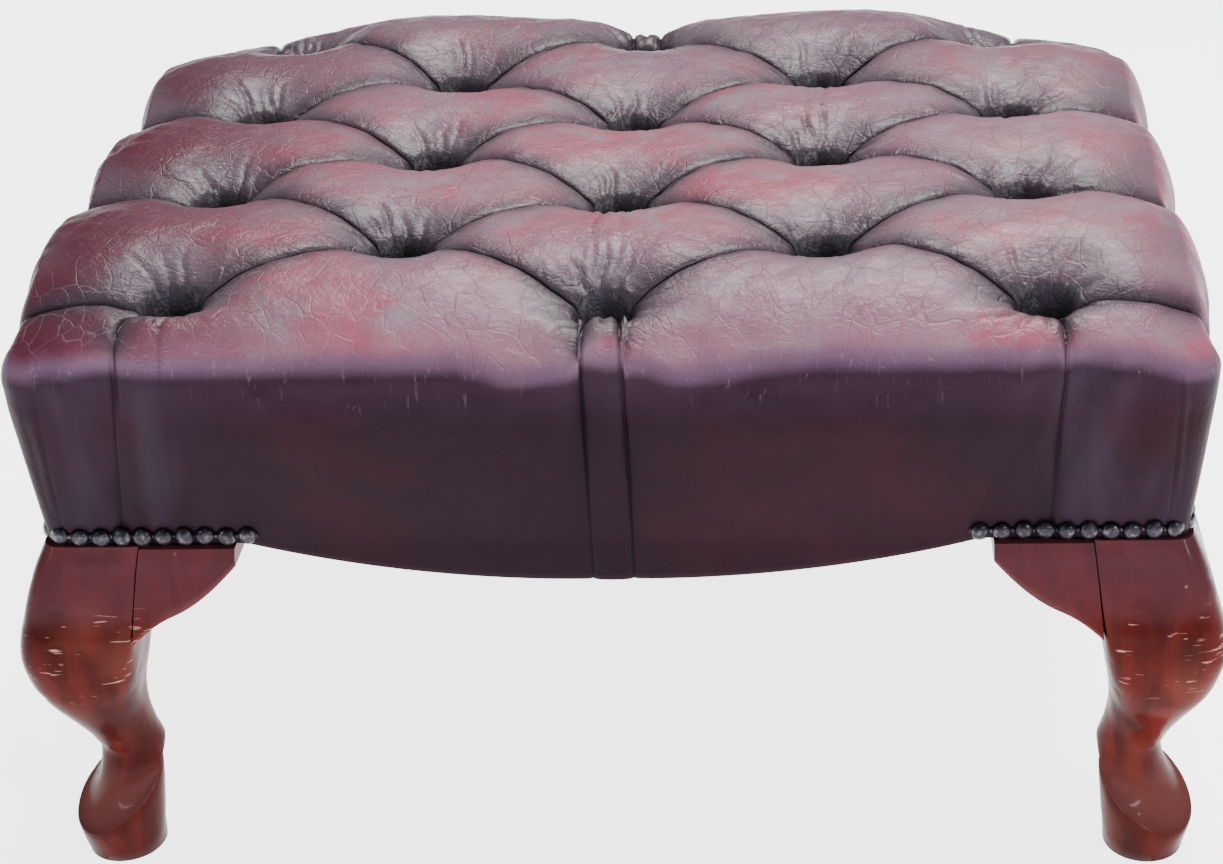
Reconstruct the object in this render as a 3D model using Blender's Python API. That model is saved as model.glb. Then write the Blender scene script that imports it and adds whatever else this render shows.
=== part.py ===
"""Deep-buttoned leather footstool on four cabriole legs, as separate pieces.

Frame: origin on the floor under the middle of the stool, +X along its long side, +Y to the back,
+Z up. Lengths are in metres. Run with: blender --background --python part.py
"""
import math

import bmesh
import bpy
from mathutils import Matrix, Vector

# Driving dimensions
GAP = 0.0003                    # clearance between touching pieces
HALF_X = 0.305                  # leather, at the widest line of its sides
HALF_Y = 0.230
CORNER_R = 0.016                # upright corners of the upholstery
Z_SHOULDER = 0.200              # leather's lower edge over the legs
Z_APRON_LONG = 0.1765           # its lowest point, in the middle of a long side
Z_APRON_SHORT = 0.1880          # and in the middle of a short side
APRON_END_LONG = 0.190          # where the curved aprons reach the legs' ears
APRON_END_SHORT = 0.115
APRON_POWER = 2.2
Z_WIDEST = 0.295                # height of the widest line
TAPER_IN = 0.010                # the sides lean in by this much down to the legs
EDGE_IN = 0.023                 # width of the rounded top edge
Z_CREST = 0.345                 # puffs
DISH = 0.009                    # the middle of the seat is this much lower
Z_POCKET = 0.293                # leather under a button
POCKET_R = 0.0170
PUFF_R = 0.056                  # distance from a button to the full height of a puff
PLEAT_DEPTH = 0.010
PLEAT_W = 0.012

# Buttons: rows of three and rows of two, turn about
BUTTON_DX = 0.110
BUTTON_DY = 0.0615
ROW_SHIFT = -0.0105             # the whole pattern sits this much towards the front
BUTTON_R = 0.0105
POCKET_HALF = 0.012
TWINE_R = 0.0012
TWINE_HOLE_R = 0.0016

# Layers of the upholstery, measured inwards from the leather's face
LEATHER_T = 0.0015
WADDING_T = 0.0035
Z_WADDING_END = 0.232

# Frame
RAIL_OUT_X = 0.2925             # outer faces of the rails and of the leg posts
RAIL_OUT_Y = 0.2175
RAIL_T = 0.018
Z_RAIL_TOP = 0.262
RAIL_UP = 0.0015                # rails stop this much above the leather's lower edge
POST = 0.045
POST_OUTER_POWER = 3.5          # squareness of a post's corner inside the leather
POST_POWER = 40.0               # and of its other corners
TENON_T = 0.008
TENON_L = 0.022
TENON_Z = (0.214, 0.250)
BOARD_T = 0.006
BOARD_CORNER = 0.010
BLOCK_Z = (0.216, 0.238)
BLOCK_REACH = 0.055             # each wing of a corner block past the post
BLOCK_TIP = 0.009               # thickness of a wing's end
SCREW_FROM_POST = 0.034
SCREW_R = 0.0020
SCREW_HEAD_R = 0.0042
SCREW_HEAD_T = 0.0030
SCREW_SHY = 0.022               # the head sits this far from the rail's inner face
SCREW_DEEP = 0.013              # and the point this far into the rail
Z_DUST = (0.2040, 0.2050)

# Legs. A leg's place along Y is its place along X less this
LEG_SKEW = HALF_X - HALF_Y
Z_KNEE_TOP = Z_SHOULDER - GAP
FOOT_C = 0.283
FOOT_BASE_R = 0.0215
FOOT_R = 0.0258
Z_FOOT_EDGE = (0.020, 0.058)    # the foot's crisp edge, outside and inside
Z_ANKLE = 0.064
# height, outer face, inner face, squareness of the outer corner, squareness of the others
LEG_SECTIONS = (
    (0.064, 0.2915, 0.2565, 2.0, 2.0),
    (0.076, 0.2958, 0.2592, 2.1, 2.1),
    (0.090, 0.3030, 0.2605, 2.3, 2.3),
    (0.104, 0.3105, 0.2600, 2.6, 2.8),
    (0.121, 0.3165, 0.2570, 3.0, 4.0),
    (0.137, 0.3185, 0.2545, 3.4, 6.0),
    (0.150, 0.3165, 0.2525, 3.8, 9.0),
    (0.160, 0.3135, 0.2513, 4.2, 14.0),
    (0.172, 0.3100, 0.2499, 4.8, 16.0),
    (0.187, 0.3045, 0.2481, 5.5, 18.0),
    (Z_KNEE_TOP, 0.2985, 0.2465, 6.0, 20.0),
)
LEG_SIDES = 16
EAR_TIP = 0.196
EAR_BACK = 0.0200               # the ears reach this far in from the rails' outer faces
Z_EAR_TOP = 0.1985
EAR_STEPS = 6

# Nail trim
NAIL_PITCH = 0.011
NAILS_PER_CORNER = 20
NAIL_R = 0.0050
NAIL_H = 0.0034
NAIL_NECK_R = 0.0013
NAIL_NECK_H = 0.0008
NAIL_Z = 0.2053
NAIL_FACE_X = 0.2968            # back of the trim
NAIL_FACE_Y = NAIL_FACE_X - LEG_SKEW


def clear_scene():
    for old in list(bpy.data.objects):
        bpy.data.objects.remove(old, do_unlink=True)


def material(name, colour, roughness, metallic=0.0):
    mat = bpy.data.materials.new(name)
    mat.use_nodes = True
    shader = mat.node_tree.nodes["Principled BSDF"]
    shader.inputs["Base Color"].default_value = (*colour, 1.0)
    shader.inputs["Roughness"].default_value = roughness
    shader.inputs["Metallic"].default_value = metallic
    return mat


def make_object(name, bm, mat, smooth=False):
    bmesh.ops.recalc_face_normals(bm, faces=bm.faces)
    mesh = bpy.data.meshes.new(name)
    bm.to_mesh(mesh)
    bm.free()
    if smooth:
        mesh.shade_smooth()
        mesh.set_sharp_from_angle(angle=math.radians(40))
    obj = bpy.data.objects.new(name, mesh)
    bpy.context.collection.objects.link(obj)
    if mat:
        obj.data.materials.append(mat)
    return obj


def cut(obj, cutter):
    cutter.hide_render = True
    cutter.display_type = "WIRE"
    boolean = obj.modifiers.new("cut_" + cutter.name, "BOOLEAN")
    boolean.operation = "DIFFERENCE"
    boolean.solver = "EXACT"
    boolean.object = cutter


def loft(bm, rings):
    """Join rings of points, each with as many as the last, and close both ends."""
    loops = [[bm.verts.new(p) for p in ring] for ring in rings]
    count = len(loops[0])
    for low, high in zip(loops, loops[1:]):
        for i in range(count):
            j = (i + 1) % count
            bm.faces.new((low[i], low[j], high[j], high[i]))
    bm.faces.new(loops[0][::-1])
    bm.faces.new(loops[-1])


def box(bm, low, high):
    size = Vector(high) - Vector(low)
    centre = (Vector(high) + Vector(low)) / 2
    bmesh.ops.create_cube(bm, size=1.0, matrix=Matrix.Translation(centre) @ Matrix.Diagonal(size).to_4x4())


def lathe(bm, profile, sides, place=Matrix.Identity(4)):
    """Turn (radius, height) pairs about Z. The first and last are on the axis."""
    tip, tail = (bm.verts.new(place @ Vector((0, 0, z))) for z in (profile[0][1], profile[-1][1]))
    loops = []
    for radius, z in profile[1:-1]:
        angles = [2 * math.pi * i / sides for i in range(sides)]
        points = [Vector((radius * math.cos(a), radius * math.sin(a), z)) for a in angles]
        loops.append([bm.verts.new(place @ p) for p in points])
    for i in range(sides):
        j = (i + 1) % sides
        bm.faces.new((tip, loops[0][i], loops[0][j]))
        bm.faces.new((tail, loops[-1][j], loops[-1][i]))
        for low, high in zip(loops, loops[1:]):
            bm.faces.new((low[i], high[i], high[j], low[j]))


def interpolate(table, z, column):
    for low, high in zip(table, table[1:]):
        if z <= high[0]:
            t = (z - low[0]) / (high[0] - low[0])
            return low[column] + t * (high[column] - low[column])
    return table[-1][column]


# ---- the buttoned surface ----

def button_places():
    """Rows from front to back, the outer rows and every other one with three buttons."""
    places = []
    for row in range(-3, 4):
        columns = (-2, 0, 2) if row % 2 else (-1, 1)
        places += [(c * BUTTON_DX, row * BUTTON_DY + ROW_SHIFT) for c in columns]
    return places


def pleats(buttons):
    """Segments between neighbouring buttons, and from the outer buttons to the edges."""
    lines = []
    for ax, ay in buttons:
        for bx, by in buttons:
            if abs(bx - ax - BUTTON_DX) < 1e-6 and abs(abs(by - ay) - BUTTON_DY) < 1e-6:
                lines.append(((ax, ay), (bx, by)))
        if abs(ay) > 2.5 * BUTTON_DY:
            lines.append(((ax, ay), (ax, math.copysign(HALF_Y, ay))))
        if abs(ax) > 1.5 * BUTTON_DX:
            lines.append(((ax, ay), (math.copysign(HALF_X, ax), ay)))
    return lines


def segment_distance(x, y, line):
    (ax, ay), (bx, by) = line
    dx, dy = bx - ax, by - ay
    t = max(0.0, min(1.0, ((x - ax) * dx + (y - ay) * dy) / (dx * dx + dy * dy)))
    return math.hypot(x - ax - t * dx, y - ay - t * dy)


BUTTONS = button_places()
PLEATS = pleats(BUTTONS)


def top_height(x, y):
    near_button = min(math.hypot(x - bx, y - by) for bx, by in BUTTONS)
    rise = max(0.0, min(1.0, (near_button - POCKET_R) / (PUFF_R - POCKET_R)))
    rise = math.sin(rise * math.pi / 2) ** 0.8
    near_pleat = min(segment_distance(x, y, line) for line in PLEATS)
    crest = Z_CREST - DISH * max(0.0, 1 - (x / HALF_X) ** 2)
    crest -= PLEAT_DEPTH * math.exp(-near_pleat / PLEAT_W)
    return Z_POCKET + (crest - Z_POCKET) * rise


def grid_lines():
    """Lines of the seat's grid: both sides of each pocket and the middles between them."""
    reach_x = HALF_X - EDGE_IN
    reach_y = HALF_Y - EDGE_IN
    xs = [-reach_x, reach_x, -0.262, 0.262]
    for column in range(-2, 3):
        xs += [column * BUTTON_DX - POCKET_HALF, column * BUTTON_DX + POCKET_HALF]
    xs += [-0.182, -0.5 * BUTTON_DX, 0.5 * BUTTON_DX, 0.182]
    ys = [-reach_y, reach_y]
    for row in range(-3, 4):
        ys += [row * BUTTON_DY + ROW_SHIFT + side * POCKET_HALF for side in (-1, 1) if row + side > -4]
    ys += [(row + 0.5) * BUTTON_DY + ROW_SHIFT for row in range(-3, 3)]
    return sorted(xs), sorted(ys)


def apron(x, y):
    """Height of the leather's lower edge at a point of its outline."""
    on_long_side = abs(y) / HALF_Y > abs(x) / HALF_X
    place, end, low = (x, APRON_END_LONG, Z_APRON_LONG)
    if not on_long_side:
        place, end, low = (y, APRON_END_SHORT, Z_APRON_SHORT)
    return low + (Z_SHOULDER - low) * min(1.0, abs(place) / end) ** APRON_POWER


def side_inset(z):
    return TAPER_IN * min(1.0, max(0.0, (Z_WIDEST - z) / (Z_WIDEST - Z_SHOULDER))) ** 1.2


def outline_point(x, y, reach_x, reach_y, half_x, half_y):
    """Move a point of the grid's border out to the rounded outline of the sides."""
    corner_x, corner_y = half_x - CORNER_R, half_y - CORNER_R
    on_x, on_y = abs(x) > reach_x - 1e-6, abs(y) > reach_y - 1e-6
    if on_x and on_y:
        reach = CORNER_R * math.sqrt(0.5)
        return math.copysign(corner_x + reach, x), math.copysign(corner_y + reach, y)
    if on_y:
        end = abs(x) > 0.25
        return math.copysign(corner_x, x) if end else x, math.copysign(half_y, y)
    end = abs(y) > reach_y - 0.025
    return math.copysign(half_x, x), math.copysign(corner_y, y) if end else y


def tufted_skin(bm, depth, z_low):
    """One surface of the upholstery at a depth under the leather's face.

    z_low(x, y) gives its lower edge. Returns the ring of vertices along that edge.
    """
    xs, ys = grid_lines()
    reach_x, reach_y = xs[-1], ys[-1]
    grid = [[bm.verts.new((x, y, top_height(x, y) - depth)) for y in ys] for x in xs]
    for i in range(len(xs) - 1):
        for j in range(len(ys) - 1):
            a, b, c, d = grid[i][j], grid[i + 1][j], grid[i + 1][j + 1], grid[i][j + 1]
            bm.faces.new((a, b, c))
            bm.faces.new((a, c, d))
    border = [column[0] for column in grid] + grid[-1][1:]
    border += [column[-1] for column in grid[-2::-1]] + grid[0][-2:0:-1]
    rings = [border]
    half_x, half_y = HALF_X - depth, HALF_Y - depth
    outer = [outline_point(v.co.x, v.co.y, reach_x, reach_y, half_x, half_y) for v in border]
    arc = math.sqrt(0.5)
    z_wide = Z_WIDEST - depth
    rounded = []
    for v, (ox, oy) in zip(border, outer):
        x = v.co.x + (ox - v.co.x) * arc
        y = v.co.y + (oy - v.co.y) * arc
        rounded.append(bm.verts.new((x, y, z_wide + (v.co.z - z_wide) * arc)))
    rings.append(rounded)
    rings.append([bm.verts.new((ox, oy, z_wide)) for ox, oy in outer])
    lows = [z_low(ox, oy) for ox, oy in outer]
    for step in (0.5, 1.0):
        ring = []
        for (ox, oy), low in zip(outer, lows):
            z = z_wide + (low - z_wide) * step
            inset = side_inset(z)
            x = ox - math.copysign(inset, ox) * (abs(ox) > half_x - CORNER_R - 1e-6)
            y = oy - math.copysign(inset, oy) * (abs(oy) > half_y - CORNER_R - 1e-6)
            ring.append(bm.verts.new((x, y, z)))
        rings.append(ring)
    count = len(border)
    for high, low in zip(rings, rings[1:]):
        for i in range(count):
            j = (i + 1) % count
            bm.faces.new((high[i], high[j], low[j]))
            bm.faces.new((high[i], low[j], low[i]))
    return rings[-1]


def tufted_shell(name, depth, thickness, z_low, mat):
    bm = bmesh.new()
    outside = tufted_skin(bm, depth, z_low)
    inside = tufted_skin(bm, depth + thickness, z_low)
    for i, here in enumerate(outside):
        j = (i + 1) % len(outside)
        bm.faces.new((here, outside[j], inside[j], inside[i]))
    return make_object(name, bm, mat, smooth=True)


def foam_block(mat):
    bm = bmesh.new()
    depth = LEATHER_T + GAP + WADDING_T + GAP
    z_base = Z_RAIL_TOP + GAP + BOARD_T + GAP
    bm.faces.new(tufted_skin(bm, depth, lambda x, y: z_base))
    return make_object("foam_pad", bm, mat, smooth=True)


def twine_hole_cutter():
    bm = bmesh.new()
    for x, y in BUTTONS:
        place = Matrix.Translation((x, y, 0.0))
        lathe(bm, [(0, 0.34), (TWINE_HOLE_R, 0.34), (TWINE_HOLE_R, 0.25), (0, 0.25)], 6, place)
    return make_object("twine_holes", bm, None)


def covered_button(index, x, y, mat):
    """A leather-covered button with its twine, which is knotted under the seat board."""
    z = Z_POCKET + GAP
    z_knot = Z_RAIL_TOP - GAP
    profile = [
        (0.0, z + 0.0058),
        (BUTTON_R * 0.72, z + 0.0042),
        (BUTTON_R, z + 0.0012),
        (TWINE_R, z),
        (TWINE_R, z_knot),
        (TWINE_R * 2.2, z_knot),
        (TWINE_R * 2.2, z_knot - 0.0030),
        (0.0, z_knot - 0.0034),
    ]
    bm = bmesh.new()
    lathe(bm, profile, 8)
    obj = make_object(f"button_{index:02d}", bm, mat, smooth=True)
    obj.location = (x, y, 0.0)
    return obj


def seat_board(mat):
    z = Z_RAIL_TOP + GAP
    x, y = RAIL_OUT_X, RAIL_OUT_Y
    cut_x, cut_y = x - BOARD_CORNER, y - BOARD_CORNER
    outline = ((cut_x, -y), (x, -cut_y), (x, cut_y), (cut_x, y), (-cut_x, y), (-x, cut_y), (-x, -cut_y), (-cut_x, -y))
    bm = bmesh.new()
    loft(bm, [[(a, b, height) for a, b in outline] for height in (z, z + BOARD_T)])
    return make_object("seat_board", bm, mat)


# ---- the timber frame ----

def leg_polar(half, angle, outer_power, other_power):
    """Radius of a rounded square. The outer corner is at 45 degrees."""
    power = outer_power if 0 <= angle <= math.pi / 2 else other_power
    c, s = abs(math.cos(angle)), abs(math.sin(angle))
    return half / (c ** power + s ** power) ** (1 / power)


def leg_angles():
    return [2 * math.pi * i / LEG_SIDES for i in range(LEG_SIDES)]


def leg_section_ring(section):
    z, outer, inner, outer_power, other_power = section
    half, centre = (outer - inner) / 2, (outer + inner) / 2
    ring = []
    for angle in leg_angles():
        r = leg_polar(half, angle, outer_power, other_power)
        ring.append((centre + r * math.cos(angle), centre - LEG_SKEW + r * math.sin(angle), z))
    return ring


def foot_rings():
    """A tapered round foot whose top is scooped out, from a crisp slanting edge up to the ankle."""
    ankle = leg_section_ring(LEG_SECTIONS[0])
    low, high = Z_FOOT_EDGE
    rings = []
    for up, radius in ((0.0, FOOT_BASE_R), (0.45, 0.5 * (FOOT_BASE_R + FOOT_R)), (1.0, FOOT_R)):
        ring = []
        for angle in leg_angles():
            edge = low + (high - low) * (1 - math.cos(angle - math.pi / 4)) / 2
            x, y = FOOT_C + radius * math.cos(angle), FOOT_C - LEG_SKEW + radius * math.sin(angle)
            ring.append((x, y, up * edge))
        rings.append(ring)
    rim = rings[-1]
    for up in (0.25, 0.5, 0.75):
        flare = (1 - up) ** 2.2
        rings.append([
            (ax + (fx - ax) * flare, ay + (fy - ay) * flare, fz + (Z_ANKLE - fz) * up)
            for (ax, ay, _), (fx, fy, fz) in zip(ankle, rim)
        ])
    return rings


def corner_place(sx, sy):
    return Matrix.Diagonal((sx, sy, 1.0, 1.0))


def cabriole_leg(name, sx, sy, mat):
    rings = foot_rings() + [leg_section_ring(section) for section in LEG_SECTIONS]
    post = (RAIL_OUT_X, RAIL_OUT_X - POST, POST_OUTER_POWER, POST_POWER)
    rings += [leg_section_ring((z, *post)) for z in (Z_KNEE_TOP, Z_RAIL_TOP)]
    bm = bmesh.new()
    loft(bm, rings)
    bmesh.ops.transform(bm, matrix=corner_place(sx, sy), verts=bm.verts)
    return make_object(name, bm, mat, smooth=True)


def tenon_centre(outer):
    return outer - RAIL_T / 2


def mortise_cutter(name, sx, sy):
    """Two mortises in a post, for the long rail's tenon and the short rail's."""
    wide = TENON_T / 2 + GAP
    low, high = TENON_Z[0] - GAP, TENON_Z[1] + GAP
    post_x, post_y = RAIL_OUT_X - POST, RAIL_OUT_Y - POST
    cy, cx = tenon_centre(RAIL_OUT_Y), tenon_centre(RAIL_OUT_X)
    bm = bmesh.new()
    box(bm, (post_x - 0.01, cy - wide, low), (post_x + TENON_L + GAP, cy + wide, high))
    box(bm, (cx - wide, post_y - 0.01, low), (cx + wide, post_y + TENON_L + GAP, high))
    bmesh.ops.transform(bm, matrix=corner_place(sx, sy), verts=bm.verts)
    return make_object(name, bm, None)


def rail(name, along_x, side, mat):
    """A rail with a curved lower edge and a tenon at each end."""
    outer = RAIL_OUT_Y if along_x else RAIL_OUT_X
    shoulder = (RAIL_OUT_X if along_x else RAIL_OUT_Y) - POST - GAP
    centre = tenon_centre(outer)
    steps = 10
    rings = []

    def ring(place, near, far, low, high):
        corners = ((near, low), (far, low), (far, high), (near, high))
        if along_x:
            return [(place, side * b, z) for b, z in corners]
        return [(side * b, place, z) for b, z in corners]

    tenon = (centre - TENON_T / 2, centre + TENON_T / 2, *TENON_Z)
    rings.append(ring(-shoulder - TENON_L, *tenon))
    rings.append(ring(-shoulder, *tenon))
    for i in range(steps + 1):
        place = shoulder * (2 * i / steps - 1)
        low = RAIL_UP + (apron(place, HALF_Y) if along_x else apron(HALF_X, place))
        rings.append(ring(place, outer - RAIL_T, outer, low, Z_RAIL_TOP))
    rings.append(ring(shoulder, *tenon))
    rings.append(ring(shoulder + TENON_L, *tenon))
    bm = bmesh.new()
    loft(bm, rings)
    return make_object(name, bm, mat)


def corner_block(name, sx, sy, mat):
    """A block notched round the post and glued and screwed to both rails."""
    rail_x, rail_y = RAIL_OUT_X - RAIL_T - GAP, RAIL_OUT_Y - RAIL_T - GAP
    post_x, post_y = RAIL_OUT_X - POST - GAP, RAIL_OUT_Y - POST - GAP
    end_x, end_y = post_x - BLOCK_REACH, post_y - BLOCK_REACH
    outline = (
        (rail_x, end_y), (rail_x, post_y), (post_x, post_y),
        (post_x, rail_y), (end_x, rail_y), (end_x, rail_y - BLOCK_TIP), (rail_x - BLOCK_TIP, end_y),
    )
    bm = bmesh.new()
    loft(bm, [[(x, y, z) for x, y in outline] for z in BLOCK_Z])
    bmesh.ops.transform(bm, matrix=corner_place(sx, sy), verts=bm.verts)
    return make_object(name, bm, mat)


def screw_place(sx, sy, along_y):
    """Z of this frame runs into the rail, from the rail's inner face."""
    z = sum(BLOCK_Z) / 2
    if along_y:
        spot = (sx * (RAIL_OUT_X - POST - SCREW_FROM_POST), sy * (RAIL_OUT_Y - RAIL_T), z)
        turn = Matrix.Rotation(-sy * math.pi / 2, 4, "X")
    else:
        spot = (sx * (RAIL_OUT_X - RAIL_T), sy * (RAIL_OUT_Y - POST - SCREW_FROM_POST), z)
        turn = Matrix.Rotation(sx * math.pi / 2, 4, "Y")
    return Matrix.Translation(spot) @ turn


def wood_screw(name, place, mat):
    head = -SCREW_SHY
    profile = [
        (0.0, head),
        (SCREW_HEAD_R, head),
        (SCREW_R, head + SCREW_HEAD_T),
        (SCREW_R, SCREW_DEEP - 0.004),
        (0.0, SCREW_DEEP),
    ]
    bm = bmesh.new()
    lathe(bm, profile, 8)
    obj = make_object(name, bm, mat, smooth=True)
    obj.matrix_world = place
    return obj


def screw_hole_cutter(name, places):
    """Counterbored clearance holes, which also drill the rails."""
    head = -SCREW_SHY
    clear = 2 * GAP
    profile = [
        (0.0, head - 0.045),
        (SCREW_HEAD_R + clear, head - 0.045),
        (SCREW_HEAD_R + clear, head + clear),
        (SCREW_R + clear, head + SCREW_HEAD_T + clear),
        (SCREW_R + clear, SCREW_DEEP - 0.004),
        (0.0, SCREW_DEEP + 2 * clear),
    ]
    bm = bmesh.new()
    for place in places:
        lathe(bm, profile, 8, place)
    return make_object(name, bm, None)


def ear_lower_edge(a):
    """Height of an ear's lower edge, from its thin tip down to the knee."""
    t = (a - EAR_TIP) / (0.2525 - EAR_TIP)
    return 0.1950 - 0.0290 * math.sin(min(1.0, t * 1.15) * math.pi / 2) - 0.0170 * t ** 3


def knee_ear(name, sx, sy, on_long_side, mat):
    """A shaped block that carries the knee's face out along under the rail."""
    back = RAIL_OUT_X - EAR_BACK
    rings = []
    for step in range(EAR_STEPS + 1):
        t = step / EAR_STEPS
        z_low = ear_lower_edge(0.2522 + t * (EAR_TIP - 0.2522))
        ring = []
        for up, at_front in ((0.0, 1), (0.35, 1), (0.7, 1), (1.0, 1), (1.0, 0), (0.0, 0)):
            z = z_low + up * (Z_EAR_TOP - z_low)
            a_leg = interpolate(LEG_SECTIONS, z, 2) - GAP
            a = a_leg + t * (EAR_TIP - a_leg)
            b = interpolate(LEG_SECTIONS, z, 1) if at_front else back
            ring.append((a, b, z))
        rings.append(ring)
    if on_long_side:
        rings = [[(sx * a, sy * (b - LEG_SKEW), z) for a, b, z in ring] for ring in rings]
    else:
        rings = [[(sx * b, sy * (a - LEG_SKEW), z) for a, b, z in ring] for ring in rings]
    bm = bmesh.new()
    loft(bm, rings)
    return make_object(name, bm, mat, smooth=True)


def dust_cover(mat):
    """A thin cloth tacked inside the rails, notched round the leg posts."""
    x, y = RAIL_OUT_X - RAIL_T - GAP, RAIL_OUT_Y - RAIL_T - GAP
    px, py = RAIL_OUT_X - POST - GAP, RAIL_OUT_Y - POST - GAP
    outline = [
        (-px, -y), (px, -y), (px, -py), (x, -py), (x, py), (px, py),
        (px, y), (-px, y), (-px, py), (-x, py), (-x, -py), (-px, -py),
    ]
    bm = bmesh.new()
    loft(bm, [[(a, b, z) for a, b in outline] for z in Z_DUST])
    return make_object("dust_cover", bm, mat)


# ---- nail trim ----

def trim_path(s):
    """Point and outward direction at a length along the trim, from the long side round to the short."""
    radius = CORNER_R
    arc = radius * math.pi / 2
    straight = (NAILS_PER_CORNER * NAIL_PITCH - arc) / 2
    cx, cy = NAIL_FACE_X - radius, NAIL_FACE_Y - radius
    if s < straight:
        return Vector((cx - straight + s, NAIL_FACE_Y, 0.0)), Vector((0.0, 1.0, 0.0))
    if s > straight + arc:
        return Vector((NAIL_FACE_X, cy - (s - straight - arc), 0.0)), Vector((1.0, 0.0, 0.0))
    angle = math.pi / 2 - (s - straight) / radius
    out = Vector((math.cos(angle), math.sin(angle), 0.0))
    return Vector((cx, cy, 0.0)) + out * radius, out


def nail_trim(name, sx, sy, mat):
    """Domed nails in a row round one corner, joined by their narrow strip."""
    rings = []
    for step in range(2 * NAILS_PER_CORNER + 1):
        at_dome = step % 2
        radius, height = (NAIL_R, NAIL_H) if at_dome else (NAIL_NECK_R, NAIL_NECK_H)
        point, out = trim_path(step * NAIL_PITCH / 2)
        shape = ((0.0, -1.0), (0.7, -0.7), (1.0, 0.0), (0.7, 0.7), (0.0, 1.0))
        rings.append([point + out * (a * height) + Vector((0, 0, NAIL_Z + b * radius)) for a, b in shape])
    bm = bmesh.new()
    loft(bm, rings)
    bmesh.ops.transform(bm, matrix=corner_place(sx, sy), verts=bm.verts)
    return make_object(name, bm, mat, smooth=True)


def build():
    clear_scene()
    leather = material("oxblood_leather", (0.13, 0.035, 0.045), 0.32)
    button_leather = material("button_leather", (0.06, 0.018, 0.025), 0.38)
    mahogany = material("polished_mahogany", (0.20, 0.035, 0.018), 0.22)
    ear_wood = material("knee_block_mahogany", (0.19, 0.033, 0.018), 0.24)
    beech = material("rail_beech", (0.55, 0.38, 0.22), 0.65)
    pine = material("block_pine", (0.62, 0.46, 0.27), 0.70)
    plywood = material("seat_plywood", (0.58, 0.43, 0.27), 0.70)
    foam = material("seat_foam", (0.78, 0.70, 0.42), 0.90)
    wadding = material("polyester_wadding", (0.86, 0.86, 0.84), 0.95)
    cloth = material("dust_cloth", (0.03, 0.03, 0.03), 0.90)
    steel = material("screw_steel", (0.55, 0.54, 0.50), 0.35, 1.0)
    nail_metal = material("blackened_nails", (0.05, 0.05, 0.055), 0.30, 1.0)

    holes = twine_hole_cutter()
    cover = tufted_shell("leather_cover", 0.0, LEATHER_T, apron, leather)
    pad_wrap = tufted_shell("wadding", LEATHER_T + GAP, WADDING_T, lambda x, y: Z_WADDING_END, wadding)
    for piece in (cover, pad_wrap, foam_block(foam), seat_board(plywood)):
        cut(piece, holes)
    for index, (x, y) in enumerate(BUTTONS, start=1):
        covered_button(index, x, y, button_leather)

    rails = {
        "front_rail": rail("front_rail", True, -1, beech),
        "back_rail": rail("back_rail", True, 1, beech),
        "left_rail": rail("left_rail", False, -1, beech),
        "right_rail": rail("right_rail", False, 1, beech),
    }
    all_places = []
    for sy, depth_name in ((-1, "front"), (1, "back")):
        for sx, side_name in ((-1, "left"), (1, "right")):
            corner = f"{depth_name}_{side_name}"
            leg = cabriole_leg(f"leg_{corner}", sx, sy, mahogany)
            cut(leg, mortise_cutter(f"mortises_{corner}", sx, sy))
            knee_ear(f"ear_{corner}_{depth_name}", sx, sy, True, ear_wood)
            knee_ear(f"ear_{corner}_side", sx, sy, False, ear_wood)
            nail_trim(f"nail_trim_{corner}", sx, sy, nail_metal)
            places = [screw_place(sx, sy, True), screw_place(sx, sy, False)]
            for place, side in zip(places, (depth_name, "side")):
                wood_screw(f"screw_{corner}_{side}", place, steel)
            block = corner_block(f"corner_block_{corner}", sx, sy, pine)
            cut(block, screw_hole_cutter(f"block_holes_{corner}", places))
            all_places += places
    rail_holes = screw_hole_cutter("rail_holes", all_places)
    for piece in rails.values():
        cut(piece, rail_holes)
    dust_cover(cloth)


build()
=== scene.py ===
import math
import random

import bmesh
import bpy
import numpy as np
from mathutils import Matrix, Vector
from mathutils.geometry import delaunay_2d_cdt
from mathutils.kdtree import KDTree


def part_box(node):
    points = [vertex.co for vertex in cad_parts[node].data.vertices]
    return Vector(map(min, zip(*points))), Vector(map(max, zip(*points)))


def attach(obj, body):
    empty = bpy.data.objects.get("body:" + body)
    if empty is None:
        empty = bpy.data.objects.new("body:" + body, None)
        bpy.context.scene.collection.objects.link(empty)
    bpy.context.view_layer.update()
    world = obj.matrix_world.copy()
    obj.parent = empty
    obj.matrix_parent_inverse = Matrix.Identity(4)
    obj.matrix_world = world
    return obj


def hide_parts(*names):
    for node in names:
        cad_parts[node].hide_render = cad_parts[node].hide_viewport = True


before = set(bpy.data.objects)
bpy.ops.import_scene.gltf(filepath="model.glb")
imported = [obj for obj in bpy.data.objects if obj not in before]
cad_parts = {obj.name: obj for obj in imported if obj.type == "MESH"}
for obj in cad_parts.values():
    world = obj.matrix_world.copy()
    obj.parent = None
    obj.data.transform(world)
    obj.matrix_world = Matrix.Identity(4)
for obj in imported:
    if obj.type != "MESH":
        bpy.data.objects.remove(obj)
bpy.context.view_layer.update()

# ---- sizes, all in metres, from the frame where it has them ----

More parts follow.
